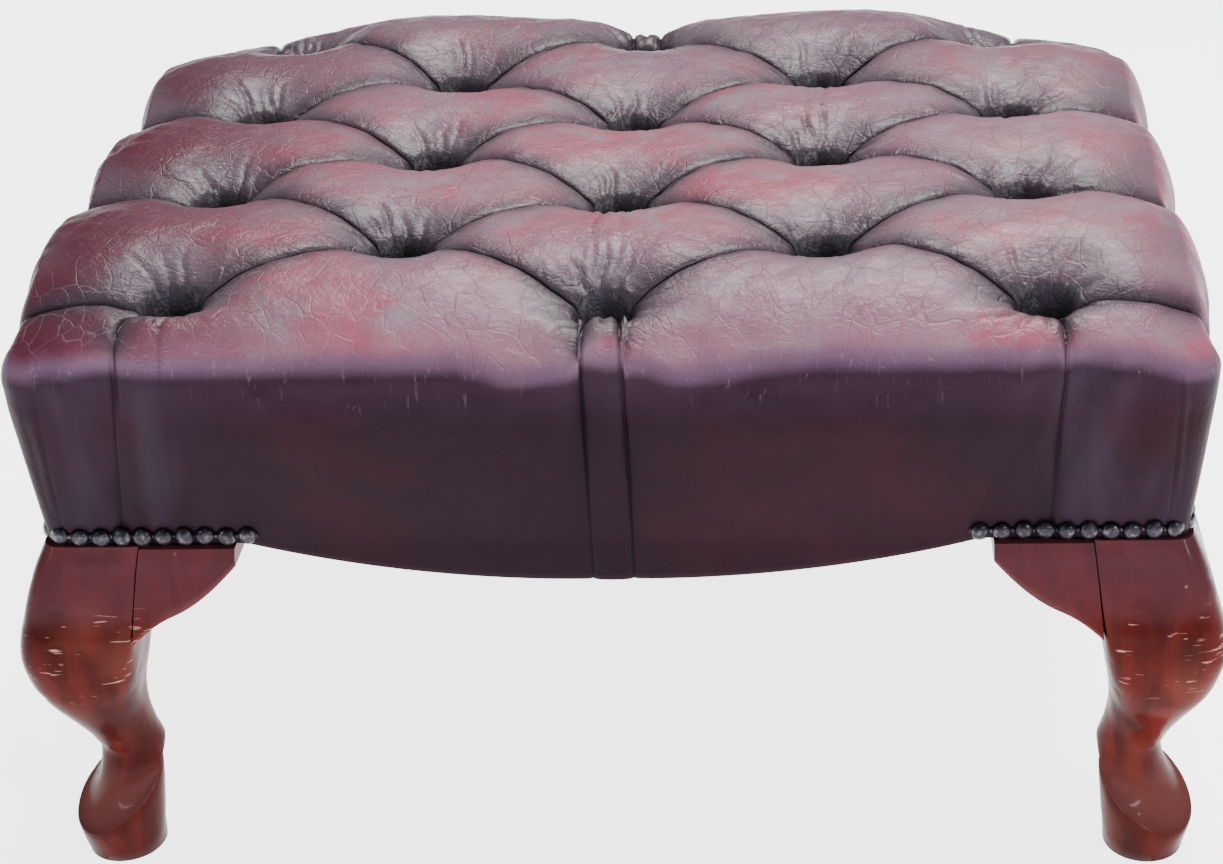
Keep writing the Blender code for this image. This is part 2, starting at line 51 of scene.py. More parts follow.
cover_low, cover_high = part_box("leather_cover")
HALF_X, HALF_Y = cover_high.x, cover_high.y      # widest line of the leather's sides
Z_LOW = cover_low.z                              # lowest point of the long aprons
LEG_SKEW = HALF_X - HALF_Y                       # a corner's Y place is its X place less this
BUTTONS = []
for name in sorted(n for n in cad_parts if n.startswith("button_")):
    low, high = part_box(name)
    BUTTONS.append(((low.x + high.x) / 2, (low.y + high.y) / 2))
BUTTON_X = max(x for x, y in BUTTONS)
FRONT_ROW, BACK_ROW = min(y for x, y in BUTTONS), max(y for x, y in BUTTONS)
ROW = (BACK_ROW - FRONT_ROW) / 6
COLUMN = BUTTON_X / 2
CORNERS = [(sx, sy) for sy in (-1, 1) for sx in (-1, 1)]
GAP = 0.0003                     # clearance between touching pieces

Z_POCKET = 0.2930                # leather under a button
Z_CREST = 0.350                  # tops of the puffs
DISH = 0.010                     # how much lower they are at the middle
Z_WIDEST = 0.294                 # where the sides stand out most
Z_SHOULDER = 0.200               # lower edge of the leather over the legs
Z_APRON_SHORT = 0.188            # lowest point of the short aprons
APRON_END_LONG = 0.190           # where the aprons' curves end
APRON_END_SHORT = 0.115
APRON_POWER = 2.2
TAPER_IN = 0.010                 # how far the sides draw in at the bottom
EDGE_IN = 0.013                  # width of the rounded edge of the top
CORNER_R = 0.017
STRIP = 0.0105                   # half the width of the strip between the two middle seams
TOP_X, TOP_Y = HALF_X - EDGE_IN, HALF_Y - EDGE_IN
TOP_R = 0.004                    # corner radius of the top's border, inside the rounded edge
FOLD_LAP = 0.0022                # how far a rear puff laps over a fold
GRADES = (0.0, 0.0004, 0.0010, 0.0018, 0.0030, 0.0045, 0.0068)    # rows of points beside a fold
LIT_Z = 0.3190                   # the colour changes from the worn, lit top to the dark sides from this height down, partly real dye and partly painted shade
LIT_DEPTH = 0.0220               # over this depth
FINE_STEP = 0.0015               # spacing of the leather's points near a button
OPEN_STEP = 0.0034               # and away from them
COARSE_RATIO = 0.10              # share of the leather's mesh that its simulation uses
PRESSURE = 4.0
SWELL_FRAMES = 16
SWELL_CAP = 0.006                # the most that a point may move


def corner_name(sx, sy):
    return ("front" if sy < 0 else "back") + ("_left" if sx < 0 else "_right")


def smooth(t):
    t = np.clip(t, 0.0, 1.0)
    return t * t * (3 - 2 * t)


def wave_noise(x, y, seed, size):
    """Soft random bumps, about -1 to 1, from a few sine waves of about this size."""
    rng = np.random.default_rng(seed)
    total = np.zeros_like(x)
    for _ in range(7):
        angle = rng.uniform(0, 2 * math.pi)
        k = 2 * math.pi / (size * rng.uniform(0.6, 1.6))
        total += np.sin(k * (x * math.cos(angle) + y * math.sin(angle)) + rng.uniform(0, 6.3))
    return total / 3.0


# ---- camera, floor and light ----

CAMERA_PLACE = (0.1055, -1.3045, 0.8339)
CAMERA_TURN = (-3.585, 27.736, 2.208)    # yaw, pitch and roll in degrees
CAMERA_LENS = 71.87                      # millimetres, on a sensor 36 mm wide
CAMERA_SHIFT = -0.056


def make_camera():
    """The photograph's viewpoint, from a fit to the button rows, corners and feet."""
    data = bpy.data.cameras.new("camera")
    camera = bpy.data.objects.new("camera", data)
    bpy.context.collection.objects.link(camera)
    yaw, pitch, roll = (math.radians(a) for a in CAMERA_TURN)
    forward = Vector((math.sin(yaw) * math.cos(pitch), math.cos(yaw) * math.cos(pitch), -math.sin(pitch)))
    right = Vector((math.cos(yaw), -math.sin(yaw), 0.0))
    down = forward.cross(right)
    tilted_right = right * math.cos(roll) + down * math.sin(roll)
    tilted_down = down * math.cos(roll) - right * math.sin(roll)
    turn = Matrix((tilted_right, -tilted_down, -forward)).transposed()
    camera.matrix_world = Matrix.Translation(CAMERA_PLACE) @ turn.to_4x4()
    data.sensor_width = 36.0
    data.lens = CAMERA_LENS
    data.shift_x = CAMERA_SHIFT
    data.clip_start = 0.05
    bpy.context.scene.camera = camera


def area_light(name, place, aim, size, power, colour=(1, 1, 1)):
    data = bpy.data.lights.new(name, "AREA")
    data.shape = "RECTANGLE"
    data.size, data.size_y = size
    data.energy = power
    data.color = colour
    light = bpy.data.objects.new(name, data)
    light.location = place
    light.rotation_euler = (Vector(aim) - Vector(place)).to_track_quat("-Z", "Y").to_euler()
    bpy.context.collection.objects.link(light)


def make_studio():
    bpy.ops.mesh.primitive_plane_add(size=60, location=(0, 0, 0))
    floor = bpy.context.object
    floor.name = "floor"
    floor.data.materials.append(floor_material())
    world = bpy.data.worlds.new("studio")
    bpy.context.scene.world = world
    world.use_nodes = True
    background = world.node_tree.nodes["Background"]
    background.inputs["Color"].default_value = (0.90, 0.93, 1.0, 1)
    background.inputs["Strength"].default_value = 0.24
    seat = (0, 0, 0.25)
    area_light("window", (0.35, 0.55, 2.10), seat, (1.0, 0.7), 74, (1.0, 0.98, 0.97))
    area_light("low_front", (0.0, -2.4, 0.85), seat, (2.4, 0.30), 9, (0.74, 0.64, 1.0))
    area_light("left_glint", (-1.8, -1.4, 1.2), seat, (0.12, 0.60), 9, (0.90, 0.92, 1.0))
    area_light("right_glint", (1.6, -1.6, 1.3), seat, (0.12, 0.60), 26, (0.92, 0.94, 1.0))


# ---- materials: small helpers, then one function for each ----

def new_material(name):
    mat = bpy.data.materials.new(name)
    mat.use_nodes = True
    return mat, mat.node_tree.nodes["Principled BSDF"]


class Graph:
    """Adds shader nodes to a material and links them, so that each material reads as a recipe."""

    def __init__(self, mat):
        self.tree = mat.node_tree
        self.coords = self.add("ShaderNodeTexCoord").outputs["Object"]

    def add(self, kind, **settings):
        node = self.tree.nodes.new(kind)
        for key, value in settings.items():
            setattr(node, key, value)
        return node

    def link(self, source, target):
        self.tree.links.new(source, target)

    def put(self, socket, value):
        if isinstance(value, bpy.types.NodeSocket):
            self.link(value, socket)
        else:
            socket.default_value = value

    def mapping(self, scale, rotation=(0, 0, 0)):
        node = self.add("ShaderNodeMapping")
        node.inputs["Scale"].default_value = scale
        node.inputs["Rotation"].default_value = rotation
        self.link(self.coords, node.inputs["Vector"])
        return node.outputs["Vector"]

    def noise(self, scale, detail=3.0, rough=0.5, distortion=0.0, vector=None):
        node = self.add("ShaderNodeTexNoise")
        node.inputs["Scale"].default_value = scale
        node.inputs["Detail"].default_value = detail
        node.inputs["Roughness"].default_value = rough
        node.inputs["Distortion"].default_value = distortion
        self.link(vector or self.coords, node.inputs["Vector"])
        return node.outputs["Fac"]

    def voronoi(self, scale, feature="F1", vector=None):
        node = self.add("ShaderNodeTexVoronoi", feature=feature)
        node.inputs["Scale"].default_value = scale
        self.link(vector or self.coords, node.inputs["Vector"])
        return node.outputs["Distance"]

    def warped(self, scale, amount):
        """The object's coordinates, pushed about by a colour noise."""
        noise = self.add("ShaderNodeTexNoise")
        noise.inputs["Scale"].default_value = scale
        self.link(self.coords, noise.inputs["Vector"])
        shifted = self.add("ShaderNodeVectorMath", operation="MULTIPLY_ADD")
        self.link(noise.outputs["Color"], shifted.inputs[0])
        shifted.inputs[1].default_value = (amount,) * 3
        self.link(self.coords, shifted.inputs[2])
        return shifted.outputs["Vector"]

    def ramp(self, value, low, high, out_low=0.0, out_high=1.0):
        node = self.add("ShaderNodeMapRange", interpolation_type="SMOOTHSTEP")
        self.link(value, node.inputs["Value"])
        node.inputs["From Min"].default_value = low
        node.inputs["From Max"].default_value = high
        node.inputs["To Min"].default_value = out_low
        node.inputs["To Max"].default_value = out_high
        return node.outputs["Result"]

    def math(self, operation, a, b=0.0):
        node = self.add("ShaderNodeMath", operation=operation)
        self.put(node.inputs[0], a)
        self.put(node.inputs[1], b)
        return node.outputs["Value"]

    def times(self, a, b):
        return self.math("MULTIPLY", a, b)

    def mix(self, factor, a, b):
        """Blend two colours, given as (r, g, b) or as sockets."""
        node = self.add("ShaderNodeMix", data_type="RGBA")
        self.put(node.inputs[0], factor)
        for socket, value in ((node.inputs[6], a), (node.inputs[7], b)):
            self.put(socket, value if isinstance(value, bpy.types.NodeSocket) else (*value, 1.0))
        return node.outputs[2]

    def attribute(self, name):
        node = self.add("ShaderNodeAttribute", attribute_name=name)
        return node.outputs["Fac"]

    def axis(self, socket, letter):
        node = self.add("ShaderNodeSeparateXYZ")
        self.link(socket, node.inputs["Vector"])
        return node.outputs[letter]

    def normal_up(self):
        return self.axis(self.add("ShaderNodeNewGeometry").outputs["Normal"], "Z")

    def bump(self, height, strength, distance, under=None):
        node = self.add("ShaderNodeBump")
        self.link(height, node.inputs["Height"])
        node.inputs["Strength"].default_value = strength
        node.inputs["Distance"].default_value = distance
        if under is not None:
            self.link(under, node.inputs["Normal"])
        return node.outputs["Normal"]


def floor_material():
    mat, shader = new_material("pale_floor")
    g = Graph(mat)
    tone = g.ramp(g.noise(1.2, 2.0), 0.3, 0.7)
    g.link(g.mix(tone, (0.86, 0.86, 0.87), (0.89, 0.89, 0.90)), shader.inputs["Base Color"])
    shader.inputs["Roughness"].default_value = 0.9
    shader.inputs["Emission Color"].default_value = (1, 1, 1, 1)
    shader.inputs["Emission Strength"].default_value = 3.4
    return mat


def leather_material():
    """Worn oxblood leather: pink, dusty crests with painted shade towards the left and the back, a painted
    grey sheen and painted shade in the hollows and folds, a painted sheen on the rolled edge, and near
    black sides, partly dye and partly painted shade.
    """
    mat, shader = new_material("oxblood_leather")
    g = Graph(mat)
    up = g.normal_up()
    relief, hollow, crease, valley = (g.attribute(n) for n in ("relief", "hollow", "crease", "valley"))
    lit = g.attribute("lit")
    patches = g.noise(10.0, 3.0, 0.55, 0.6)
    cloud = g.noise(30.0, 4.0, 0.6, 0.3)
    place_x = g.axis(g.coords, "X")
    # the colour of the top: pink and dusty crests; painted shade towards the left, at the back and in the
    # folds, and a painted grey sheen in the hollows
    pink = g.mix(g.ramp(patches, 0.44, 0.62), (0.225, 0.100, 0.138), (0.290, 0.074, 0.110))
    dusty = g.mix(g.ramp(cloud, 0.40, 0.72), pink, (0.228, 0.154, 0.184))
    # painted shade: the top goes darker and redder towards the left, most of all on the crests that face up
    left = g.times(g.ramp(place_x, -0.29, -0.10, 0.90, 0.0), g.ramp(cloud, 0.30, 0.60, 0.3, 1.0))
    crest = g.mix(left, dusty, (0.125, 0.026, 0.046))
    left_crest_shade = g.times(g.ramp(up, 0.30, 0.95, 0.55, 1.0), g.ramp(place_x, -0.29, -0.12, 0.90, 0.0))
    crest = g.mix(left_crest_shade, crest, (0.070, 0.014, 0.026))
    # painted sheen: a dull grey, darker than the crests, over the low front slopes and up the sides of the
    # hollows
    at_front = g.ramp(g.axis(g.coords, "Y"), -0.185, -0.150)
    low = g.times(g.ramp(relief, 0.18, 0.90), at_front)
    in_hollow = g.times(g.ramp(hollow, 0.20, 0.75), 0.85)
    grey_sheen = g.math("MAXIMUM", g.times(low, 0.80), in_hollow)
    grey = g.mix(grey_sheen, crest, (0.105, 0.086, 0.104))
    # painted shade: the top goes darker towards the back
    far = g.times(g.ramp(g.axis(g.coords, "Y"), 0.00, 0.20), 0.60)
    back_shaded = g.mix(far, grey, (0.085, 0.060, 0.078))
    # painted shade along the folds between the puffs, with some patina in them, broken up by a noise
    patchy = g.math("ADD", valley, g.times(g.math("SUBTRACT", cloud, 0.5), 0.5))
    shaded = g.mix(g.ramp(patchy, 0.06, 0.80, 0.0, 0.90), back_shaded, (0.042, 0.027, 0.037))
    # painted shade: near black deep in each hollow round its button
    dark = g.mix(g.ramp(hollow, 0.72, 0.96), shaded, (0.020, 0.014, 0.020))
    # the sides: dark oxblood dye, made darker still as painted shade
    side = g.mix(g.ramp(patches, 0.42, 0.70), (0.0112, 0.0040, 0.0080), (0.0185, 0.0044, 0.0080))
    # painted sheen: the upper part of the sides is lighter, a glow fading down from the edge
    wall_top_glow = g.ramp(g.axis(g.coords, "Z"), 0.268, 0.300)
    side = g.mix(wall_top_glow, side, (0.023, 0.010, 0.020))
    # painted sheen: pale vertical streaks on the sides near the corners, where folds would catch the light
    streaks = g.noise(1.0, 3.0, 0.55, 0.4, g.mapping((26.0, 26.0, 3.0), (0.0, 0.12, 0.0)))
    near_corner = g.ramp(g.math("ABSOLUTE", place_x), 0.190, 0.240)
    fold_sheen = g.times(g.ramp(streaks, 0.38, 0.74, 0.0, 0.7), near_corner)
    side = g.mix(fold_sheen, side, (0.025, 0.015, 0.027))
    # painted sheen and shade: the top's colour holds down to the lit height, then a painted lavender sheen
    # band on the rolled edge, then the dark sides
    edge = g.math("ADD", lit, g.times(g.math("SUBTRACT", cloud, 0.5), 0.12))
    rolled_sheen = g.mix(g.ramp(edge, 0.08, 0.52), side, (0.118, 0.064, 0.102))
    colour = g.mix(g.ramp(edge, 0.44, 0.82), rolled_sheen, dark)
    # fine pale hairlines down the rolled edges, and a net of cracks on the most worn puffs
    hairs = g.noise(1.0, 3.0, 0.65, 0.5, g.mapping((420.0, 420.0, 26.0), (0.35, 0.0, 0.0)))
    rolled = g.times(g.ramp(up, 0.0, 0.30), g.ramp(up, 0.75, 0.98, 1.0, 0.15))
    hair = g.times(g.ramp(hairs, 0.60, 0.70), rolled)
    cracks = g.voronoi(58.0, "DISTANCE_TO_EDGE", g.warped(22.0, 0.030))
    worn = g.times(g.ramp(patches, 0.50, 0.60), g.ramp(up, 0.45, 0.8))
    crack = g.times(g.ramp(cracks, 0.0, 0.022, 1.0, 0.0), worn)
    colour = g.mix(g.times(hair, 0.10), colour, (0.50, 0.36, 0.39))
    colour = g.mix(g.times(crack, 0.15), colour, (0.50, 0.38, 0.38))
    # painted shade: near black in the folds and creases
    colour = g.mix(g.ramp(crease, 0.10, 0.75), colour, (0.010, 0.006, 0.009))
    g.link(colour, shader.inputs["Base Color"])
    # less gloss on the sides, and on the left and right edges of the top
    inner = g.ramp(g.math("ABSOLUTE", place_x), 0.255, 0.292, 1.0, 0.15)
    gloss = g.times(lit, inner)
    g.link(g.ramp(gloss, 0.10, 0.95, 0.16, 0.50), shader.inputs["Specular IOR Level"])
    g.link(g.ramp(gloss, 0.00, 1.00, 1.22, 1.40), shader.inputs["IOR"])
    g.link(g.ramp(cloud, 0.2, 0.8, 0.35, 0.47), shader.inputs["Roughness"])
    g.link(g.ramp(gloss, 0.60, 1.00, 0.0, 0.08), shader.inputs["Coat Weight"])
    shader.inputs["Coat Roughness"].default_value = 0.25
    pebbles = g.times(g.voronoi(640.0, "SMOOTH_F1"), g.ramp(lit, 0.0, 0.9, 0.45, 1.0))
    grain = g.bump(pebbles, 0.30, 0.0008)
    wrinkles = g.noise(190.0, 5.0, 0.62, 1.4, g.mapping((0.7, 1.3, 0.6)))
    wrinkles = g.times(wrinkles, g.ramp(lit, 0.10, 0.90, 0.15, 1.0))
    crinkled = g.bump(wrinkles, 0.50, 0.0016, grain)
    groove = g.times(g.ramp(cracks, 0.0, 0.035), g.ramp(up, 0.30, 0.70))
    cracked = g.bump(groove, 0.35, 0.0010, crinkled)
    haired = g.bump(hairs, 0.25, 0.0009, cracked)
    slack = g.noise(1.0, 3.0, 0.5, 0.8, g.mapping((52.0, 52.0, 16.0), (0.0, 0.25, 0.2)))
    g.link(g.bump(slack, 0.30, 0.0040, haired), shader.inputs["Normal"])
    return mat


def button_material():
    mat, shader = new_material("button_leather")
    g = Graph(mat)
    cloud = g.noise(120.0, 3.0)
    tone = g.mix(g.ramp(cloud, 0.3, 0.7), (0.035, 0.012, 0.017), (0.075, 0.028, 0.034))
    g.link(tone, shader.inputs["Base Color"])
    shader.inputs["Roughness"].default_value = 0.36
    g.link(g.bump(g.voronoi(720.0, "SMOOTH_F1"), 0.22, 0.0006), shader.inputs["Normal"])
    return mat


def mahogany_material(name):
    """Polished red-brown wood: soft long grain, a painted mauve reflection band under the leather, a
    painted highlight on the feet's tops, scratched knees.
    """
    mat, shader = new_material(name)
    g = Graph(mat)
    grain = g.noise(9.0, 4.0, 0.55, 0.8, g.mapping((6.0, 6.0, 1.0)))
    pores = g.noise(1.0, 3.0, 0.6, 0.2, g.mapping((900.0, 900.0, 70.0)))
    patches = g.noise(16.0, 2.0)
    wood = g.mix(g.ramp(grain, 0.30, 0.75), (0.028, 0.0038, 0.0034), (0.078, 0.0085, 0.0062))
    wood = g.mix(g.times(g.ramp(patches, 0.50, 0.75), 0.5), wood, (0.120, 0.030, 0.019))
    height = g.axis(g.coords, "Z")
    # painted reflection: a mauve band at the top of the legs, just under the leather
    band = g.ramp(g.math("ADD", height, g.times(patches, 0.012)), 0.158, 0.182)
    wood = g.mix(g.times(band, 0.50), wood, (0.085, 0.034, 0.042))
    # painted highlight: the upward faces of the feet are lighter and rosier
    foot_top = g.times(g.ramp(g.normal_up(), 0.10, 0.60), g.ramp(height, 0.060, 0.085, 1.0, 0.0))
    wood = g.mix(g.times(foot_top, 0.75), wood, (0.130, 0.044, 0.040))
    wood = g.mix(g.ramp(height, 0.0, 0.010, 0.6, 0.0), wood, (0.020, 0.006, 0.005))
    # long scratches round the knees, broken up, and small chips
    lines = g.noise(1.0, 2.0, 0.5, 0.3, g.mapping((60.0, 60.0, 700.0), (0.30, 0.22, 0.0)))
    knee = g.times(g.ramp(height, 0.108, 0.130), g.ramp(height, 0.163, 0.172, 1.0, 0.0))
    broken = g.ramp(g.noise(60.0, 2.0), 0.52, 0.60)
    scratch = g.times(g.times(g.ramp(lines, 0.63, 0.68), knee), broken)
    chips = g.ramp(g.voronoi(70.0), 0.0, 0.10, 1.0, 0.0)
    chip = g.times(chips, g.ramp(g.noise(23.0, 1.0), 0.60, 0.64))
    damage = g.math("MAXIMUM", g.times(scratch, 0.85), g.times(chip, 0.8))
    wood = g.mix(damage, wood, (0.42, 0.20, 0.17))
    g.link(wood, shader.inputs["Base Color"])
    g.link(g.ramp(patches, 0.2, 0.8, 0.20, 0.34), shader.inputs["Roughness"])
    shader.inputs["Specular IOR Level"].default_value = 0.05
    shader.inputs["IOR"].default_value = 1.25
    shader.inputs["Coat Weight"].default_value = 0.05
    shader.inputs["Coat Roughness"].default_value = 0.10
    rough = g.bump(pores, 0.10, 0.0004)
    g.link(g.bump(scratch, 0.30, 0.0003, rough), shader.inputs["Normal"])
    return mat


def plain_wood_material(name, dark, light, scale):
    mat, shader = new_material(name)
    g = Graph(mat)
    grain = g.noise(14.0, 5.0, 0.6, 0.8, g.mapping(scale))
    rays = g.noise(160.0, 2.0, 0.5, 0.0, g.mapping(scale))
    g.link(g.mix(g.ramp(grain, 0.3, 0.7), dark, light), shader.inputs["Base Color"])
    shader.inputs["Roughness"].default_value = 0.68
    g.link(g.bump(rays, 0.3, 0.0008), shader.inputs["Normal"])
    return mat


def cloth_material(name, dark, light, threads):
    """A plain weave, from two crossed waves."""
    mat, shader = new_material(name)
    g = Graph(mat)
    waves = []
    for direction in ("X", "Y"):
        node = g.add("ShaderNodeTexWave", bands_direction=direction)
        node.inputs["Scale"].default_value = threads
        node.inputs["Distortion"].default_value = 0.4
        g.link(g.coords, node.inputs["Vector"])
        waves.append(node.outputs["Fac"])
    weave = g.times(waves[0], waves[1])
    tone = g.math("ADD", g.times(weave, 0.6), g.times(g.noise(14.0), 0.4))
    g.link(g.mix(tone, dark, light), shader.inputs["Base Color"])
    shader.inputs["Roughness"].default_value = 0.92
    shader.inputs["Sheen Weight"].default_value = 0.3
    g.link(g.bump(weave, 0.4, 0.0006), shader.inputs["Normal"])
    return mat


def foam_material(name, dark, light, cell):
    mat, shader = new_material(name)
    g = Graph(mat)
    cells = g.voronoi(cell)
    g.link(g.mix(g.ramp(cells, 0.1, 0.6), dark, light), shader.inputs["Base Color"])
    shader.inputs["Roughness"].default_value = 0.95
    g.link(g.bump(cells, 0.6, 0.001), shader.inputs["Normal"])
    return mat


def metal_material(name, dark, light, roughness):
    """Worn finish over metal: paler where a fine noise says it has rubbed through."""
    mat, shader = new_material(name)
    g = Graph(mat)
    rub = g.ramp(g.noise(240.0, 4.0, 0.6), 0.45, 0.70)
    g.link(g.mix(rub, dark, light), shader.inputs["Base Color"])
    shader.inputs["Metallic"].default_value = 0.85
    g.link(g.ramp(g.noise(160.0, 3.0), 0.3, 0.7, roughness, roughness + 0.16), shader.inputs["Roughness"])
    g.link(g.bump(g.noise(380.0, 2.0), 0.15, 0.0004), shader.inputs["Normal"])
    return mat


# ---- the upholstery's surface ----

def seam_place(sx, sy):
    """Where the pleat from a corner button crosses the top edge, and where it ends at the bottom."""
    if sx < 0:
        return (-0.246, -0.256) if sy < 0 else (-0.243, -0.250)
    return (0.229, 0.224) if sy < 0 else (0.236, 0.232)


def top_pleats():
    """Folds between neighbouring buttons, and from the outer buttons to the edges."""
    between, to_edge = [], []
    for ax, ay in BUTTONS:
        for bx, by in BUTTONS:
            if abs(bx - ax - COLUMN) < 1e-3 and abs(abs(by - ay) - ROW) < 1e-3:
                between.append((ax, ay, bx, by))
        if abs(ax) > BUTTON_X - 1e-3:
            to_edge.append((ax, ay, math.copysign(HALF_X, ax), ay))
        if min(abs(ay - FRONT_ROW), abs(ay - BACK_ROW)) < 1e-3:
            sy = math.copysign(1, ay)
            if abs(ax) < 1e-3:
                to_edge += [(side * 0.7 * STRIP, ay, side * STRIP, sy * HALF_Y) for side in (-1, 1)]
            else:
                end = seam_place(math.copysign(1, ax), sy)[0]
                bend = (ax + 0.78 * (end - ax), ay + sy * 0.010)
                to_edge += [(ax, ay, *bend), (*bend, end, sy * HALF_Y)]
    return between, to_edge


BETWEEN, TO_EDGE = top_pleats()
ALL_PLEATS = np.array(BETWEEN + TO_EDGE)


def distances(x, y, lines):
    """Distance from each point to each line, as an array of points by lines."""
    ax, ay, bx, by = (lines[:, i][None, :] for i in range(4))
    dx, dy = bx - ax, by - ay
    t = ((x[:, None] - ax) * dx + (y[:, None] - ay) * dy) / (dx * dx + dy * dy)
    t = np.clip(t, 0, 1)
    return np.hypot(x[:, None] - ax - t * dx, y[:, None] - ay - t * dy)


def fold_distance(x, y):
    """Distance to the nearest fold between or beside the puffs."""
    return distances(x, y, ALL_PLEATS).min(1)


GATHERS_PER_BUTTON = 15


def gathers():
    """Short creases that fan out from each button, and a few long folds. Each ends with its depth."""
    rng = np.random.default_rng(11)
    lines = []
    for bx, by in BUTTONS:
        for k in range(GATHERS_PER_BUTTON):
            angle = 2 * math.pi * (k + rng.uniform(-0.38, 0.38)) / GATHERS_PER_BUTTON
            start, end = rng.uniform(0.008, 0.014), rng.uniform(0.022, 0.052)
            bend = angle + rng.uniform(-0.22, 0.22)
            lines.append((
                bx + start * math.cos(angle), by + start * math.sin(angle),
                bx + end * math.cos(bend), by + end * math.sin(bend), rng.uniform(0.0007, 0.0023),
            ))
    front_folds = ((-0.006, -0.082, -0.008, -0.178), (0.011, -0.080, 0.004, -0.172))
    right_folds = ((0.112, 0.012, 0.113, 0.104), (0.104, 0.010, 0.098, 0.060))
    left_folds = ((-0.214, 0.145, -0.222, 0.200), (-0.228, 0.020, -0.240, 0.048))
    lines += [(*fold, 0.0022) for fold in front_folds + right_folds + left_folds]
    return np.array(lines)


GATHERS = gathers()


def gather_depth(x, y):
    """Depth of the creases at each point, with the raised lips beside them."""
    total = np.zeros_like(x)
    for ax, ay, bx, by, depth in GATHERS:
        length = math.hypot(bx - ax, by - ay)
        near = np.hypot(x - (ax + bx) / 2, y - (ay + by) / 2) < length / 2 + 0.008
        px, py = x[near], y[near]
        ux, uy = (bx - ax) / length, (by - ay) / length
        t = ((px - ax) * ux + (py - ay) * uy) / length
        across = np.abs((px - ax) * uy - (py - ay) * ux + 0.0012 * np.sin(9 * t + 50 * ax))
        taper = smooth(t / 0.22) * smooth((1 - t) / 0.6)
        groove = np.exp(-across / 0.0011) - 0.35 * np.exp(-((across - 0.0034) / 0.0016) ** 2)
        total[near] += depth * taper * groove
    return total


def button_distance(x, y):
    """Distance to the nearest button. Past the outer rows it grows faster, which steepens their hollows."""
    past = 0.5 * np.maximum(y - BACK_ROW, 0.0) - 1.2 * np.maximum(FRONT_ROW - y, 0.0)
    return np.min([np.hypot(x - bx, y - by + past) for bx, by in BUTTONS], 0)


def dished_crest(x):
    """Height of the puffs' tops, which dip towards the middle of the seat's length."""
    return Z_CREST - DISH * np.clip(1 - (x / HALF_X) ** 2, 0, 1)


def height(x, y, fine=True):
    """Height of the leather over a point of the plan."""
    d = distances(x, y, ALL_PLEATS)
    soft = 0.006
    blended = np.maximum(-soft * np.log(np.exp(-d / soft).sum(1)), 0.0)
    r = button_distance(x, y)
    crest = dished_crest(x) - 0.0025 * x / HALF_X
    crest = crest + 0.0012 * wave_noise(x, y, 3, 0.14) + 0.008 * smooth((y - 0.09) / 0.09)
    beside_seams = np.exp(-((np.abs(x) - 0.042) / 0.026) ** 2)
    front_drop = np.where(np.abs(x) < STRIP + 0.001, 0.016, 0.023 + 0.007 * beside_seams)
    crest = crest - front_drop * np.clip((-y - 0.145) / (TOP_Y - 0.145), 0, 1.1) ** 2.3
    crest = crest - 0.018 * smooth((np.abs(x) - 0.12) / 0.15) * smooth((y - 0.10) / 0.10)
    crest = crest - 0.005 * smooth((np.abs(x) - 0.15) / 0.08) * smooth((y - 0.168) / 0.042)
    back_drop = 0.010 + 0.022 * np.exp(-np.abs(x) / 0.040)
    crest = crest - back_drop * np.clip((y - 0.165) / (TOP_Y - 0.165), 0, 1.1) ** 2
    crest = crest - 0.011 * np.clip((np.abs(x) - 0.232) / (TOP_X - 0.232), 0, 1.1) ** 2
    edge_fold = np.min([np.abs(y - by) for bx, by in BUTTONS if abs(bx) > BUTTON_X - 1e-3], 0)
    rounded = (0.5 + 0.5 * np.cos(math.pi * np.minimum(edge_fold / ROW, 1.0))) ** 1.4
    rounded = rounded * (1 - 0.5 * smooth((-y - 0.14) / 0.04))
    crest = crest - 0.011 * smooth((np.abs(x) - 0.225) / 0.055) * rounded
    steep = np.clip(1 - (r - 0.0090) / 0.0075, 0, 1) ** 1.3
    gentle = np.clip(1 - (r - 0.0090) / 0.0440, 0, 1) ** 1.7
    pocket = 0.60 * steep + 0.40 * gentle
    z = crest - (crest - Z_POCKET) * pocket - 0.0036 * np.exp(-blended / 0.014) * (1 - pocket)
    if fine:
        z = z - 0.0040 * np.exp(-d.min(1) / 0.0016) * (1 - steep)
        z = z - gather_depth(x, y) * smooth((r - 0.008) / 0.008)
        z = z + 0.00040 * wave_noise(x, y, 5, 0.022) * smooth((r - 0.01) / 0.02)
    return z


def hollow_value(x, y):
    """1 at a button, fading to 0 up the sides of its hollow. The material paints a grey sheen and shade
    with it.
    """
    return np.clip(1 - (button_distance(x, y) - 0.010) / 0.050, 0, 1)


def relief_value(x, y, z):
    """0 on a puff's crest and 1 well below it. The material paints a grey sheen with it."""
    return np.clip((dished_crest(x) - z) / 0.020, 0, 1)


def crease_value(x, y):
    """1 in a fold or a crease, 0 away from them. The material paints shade into them with it."""
    folds = np.exp(-fold_distance(x, y) / 0.0011)
    return np.clip(np.maximum(folds, gather_depth(x, y) / 0.0030), 0, 1)


def valley_value(x, y):
    """1 at a fold between puffs, fading to 0 up their slopes. The material paints shade along the folds
    with it.
    """
    return np.exp(-fold_distance(x, y) / 0.011)


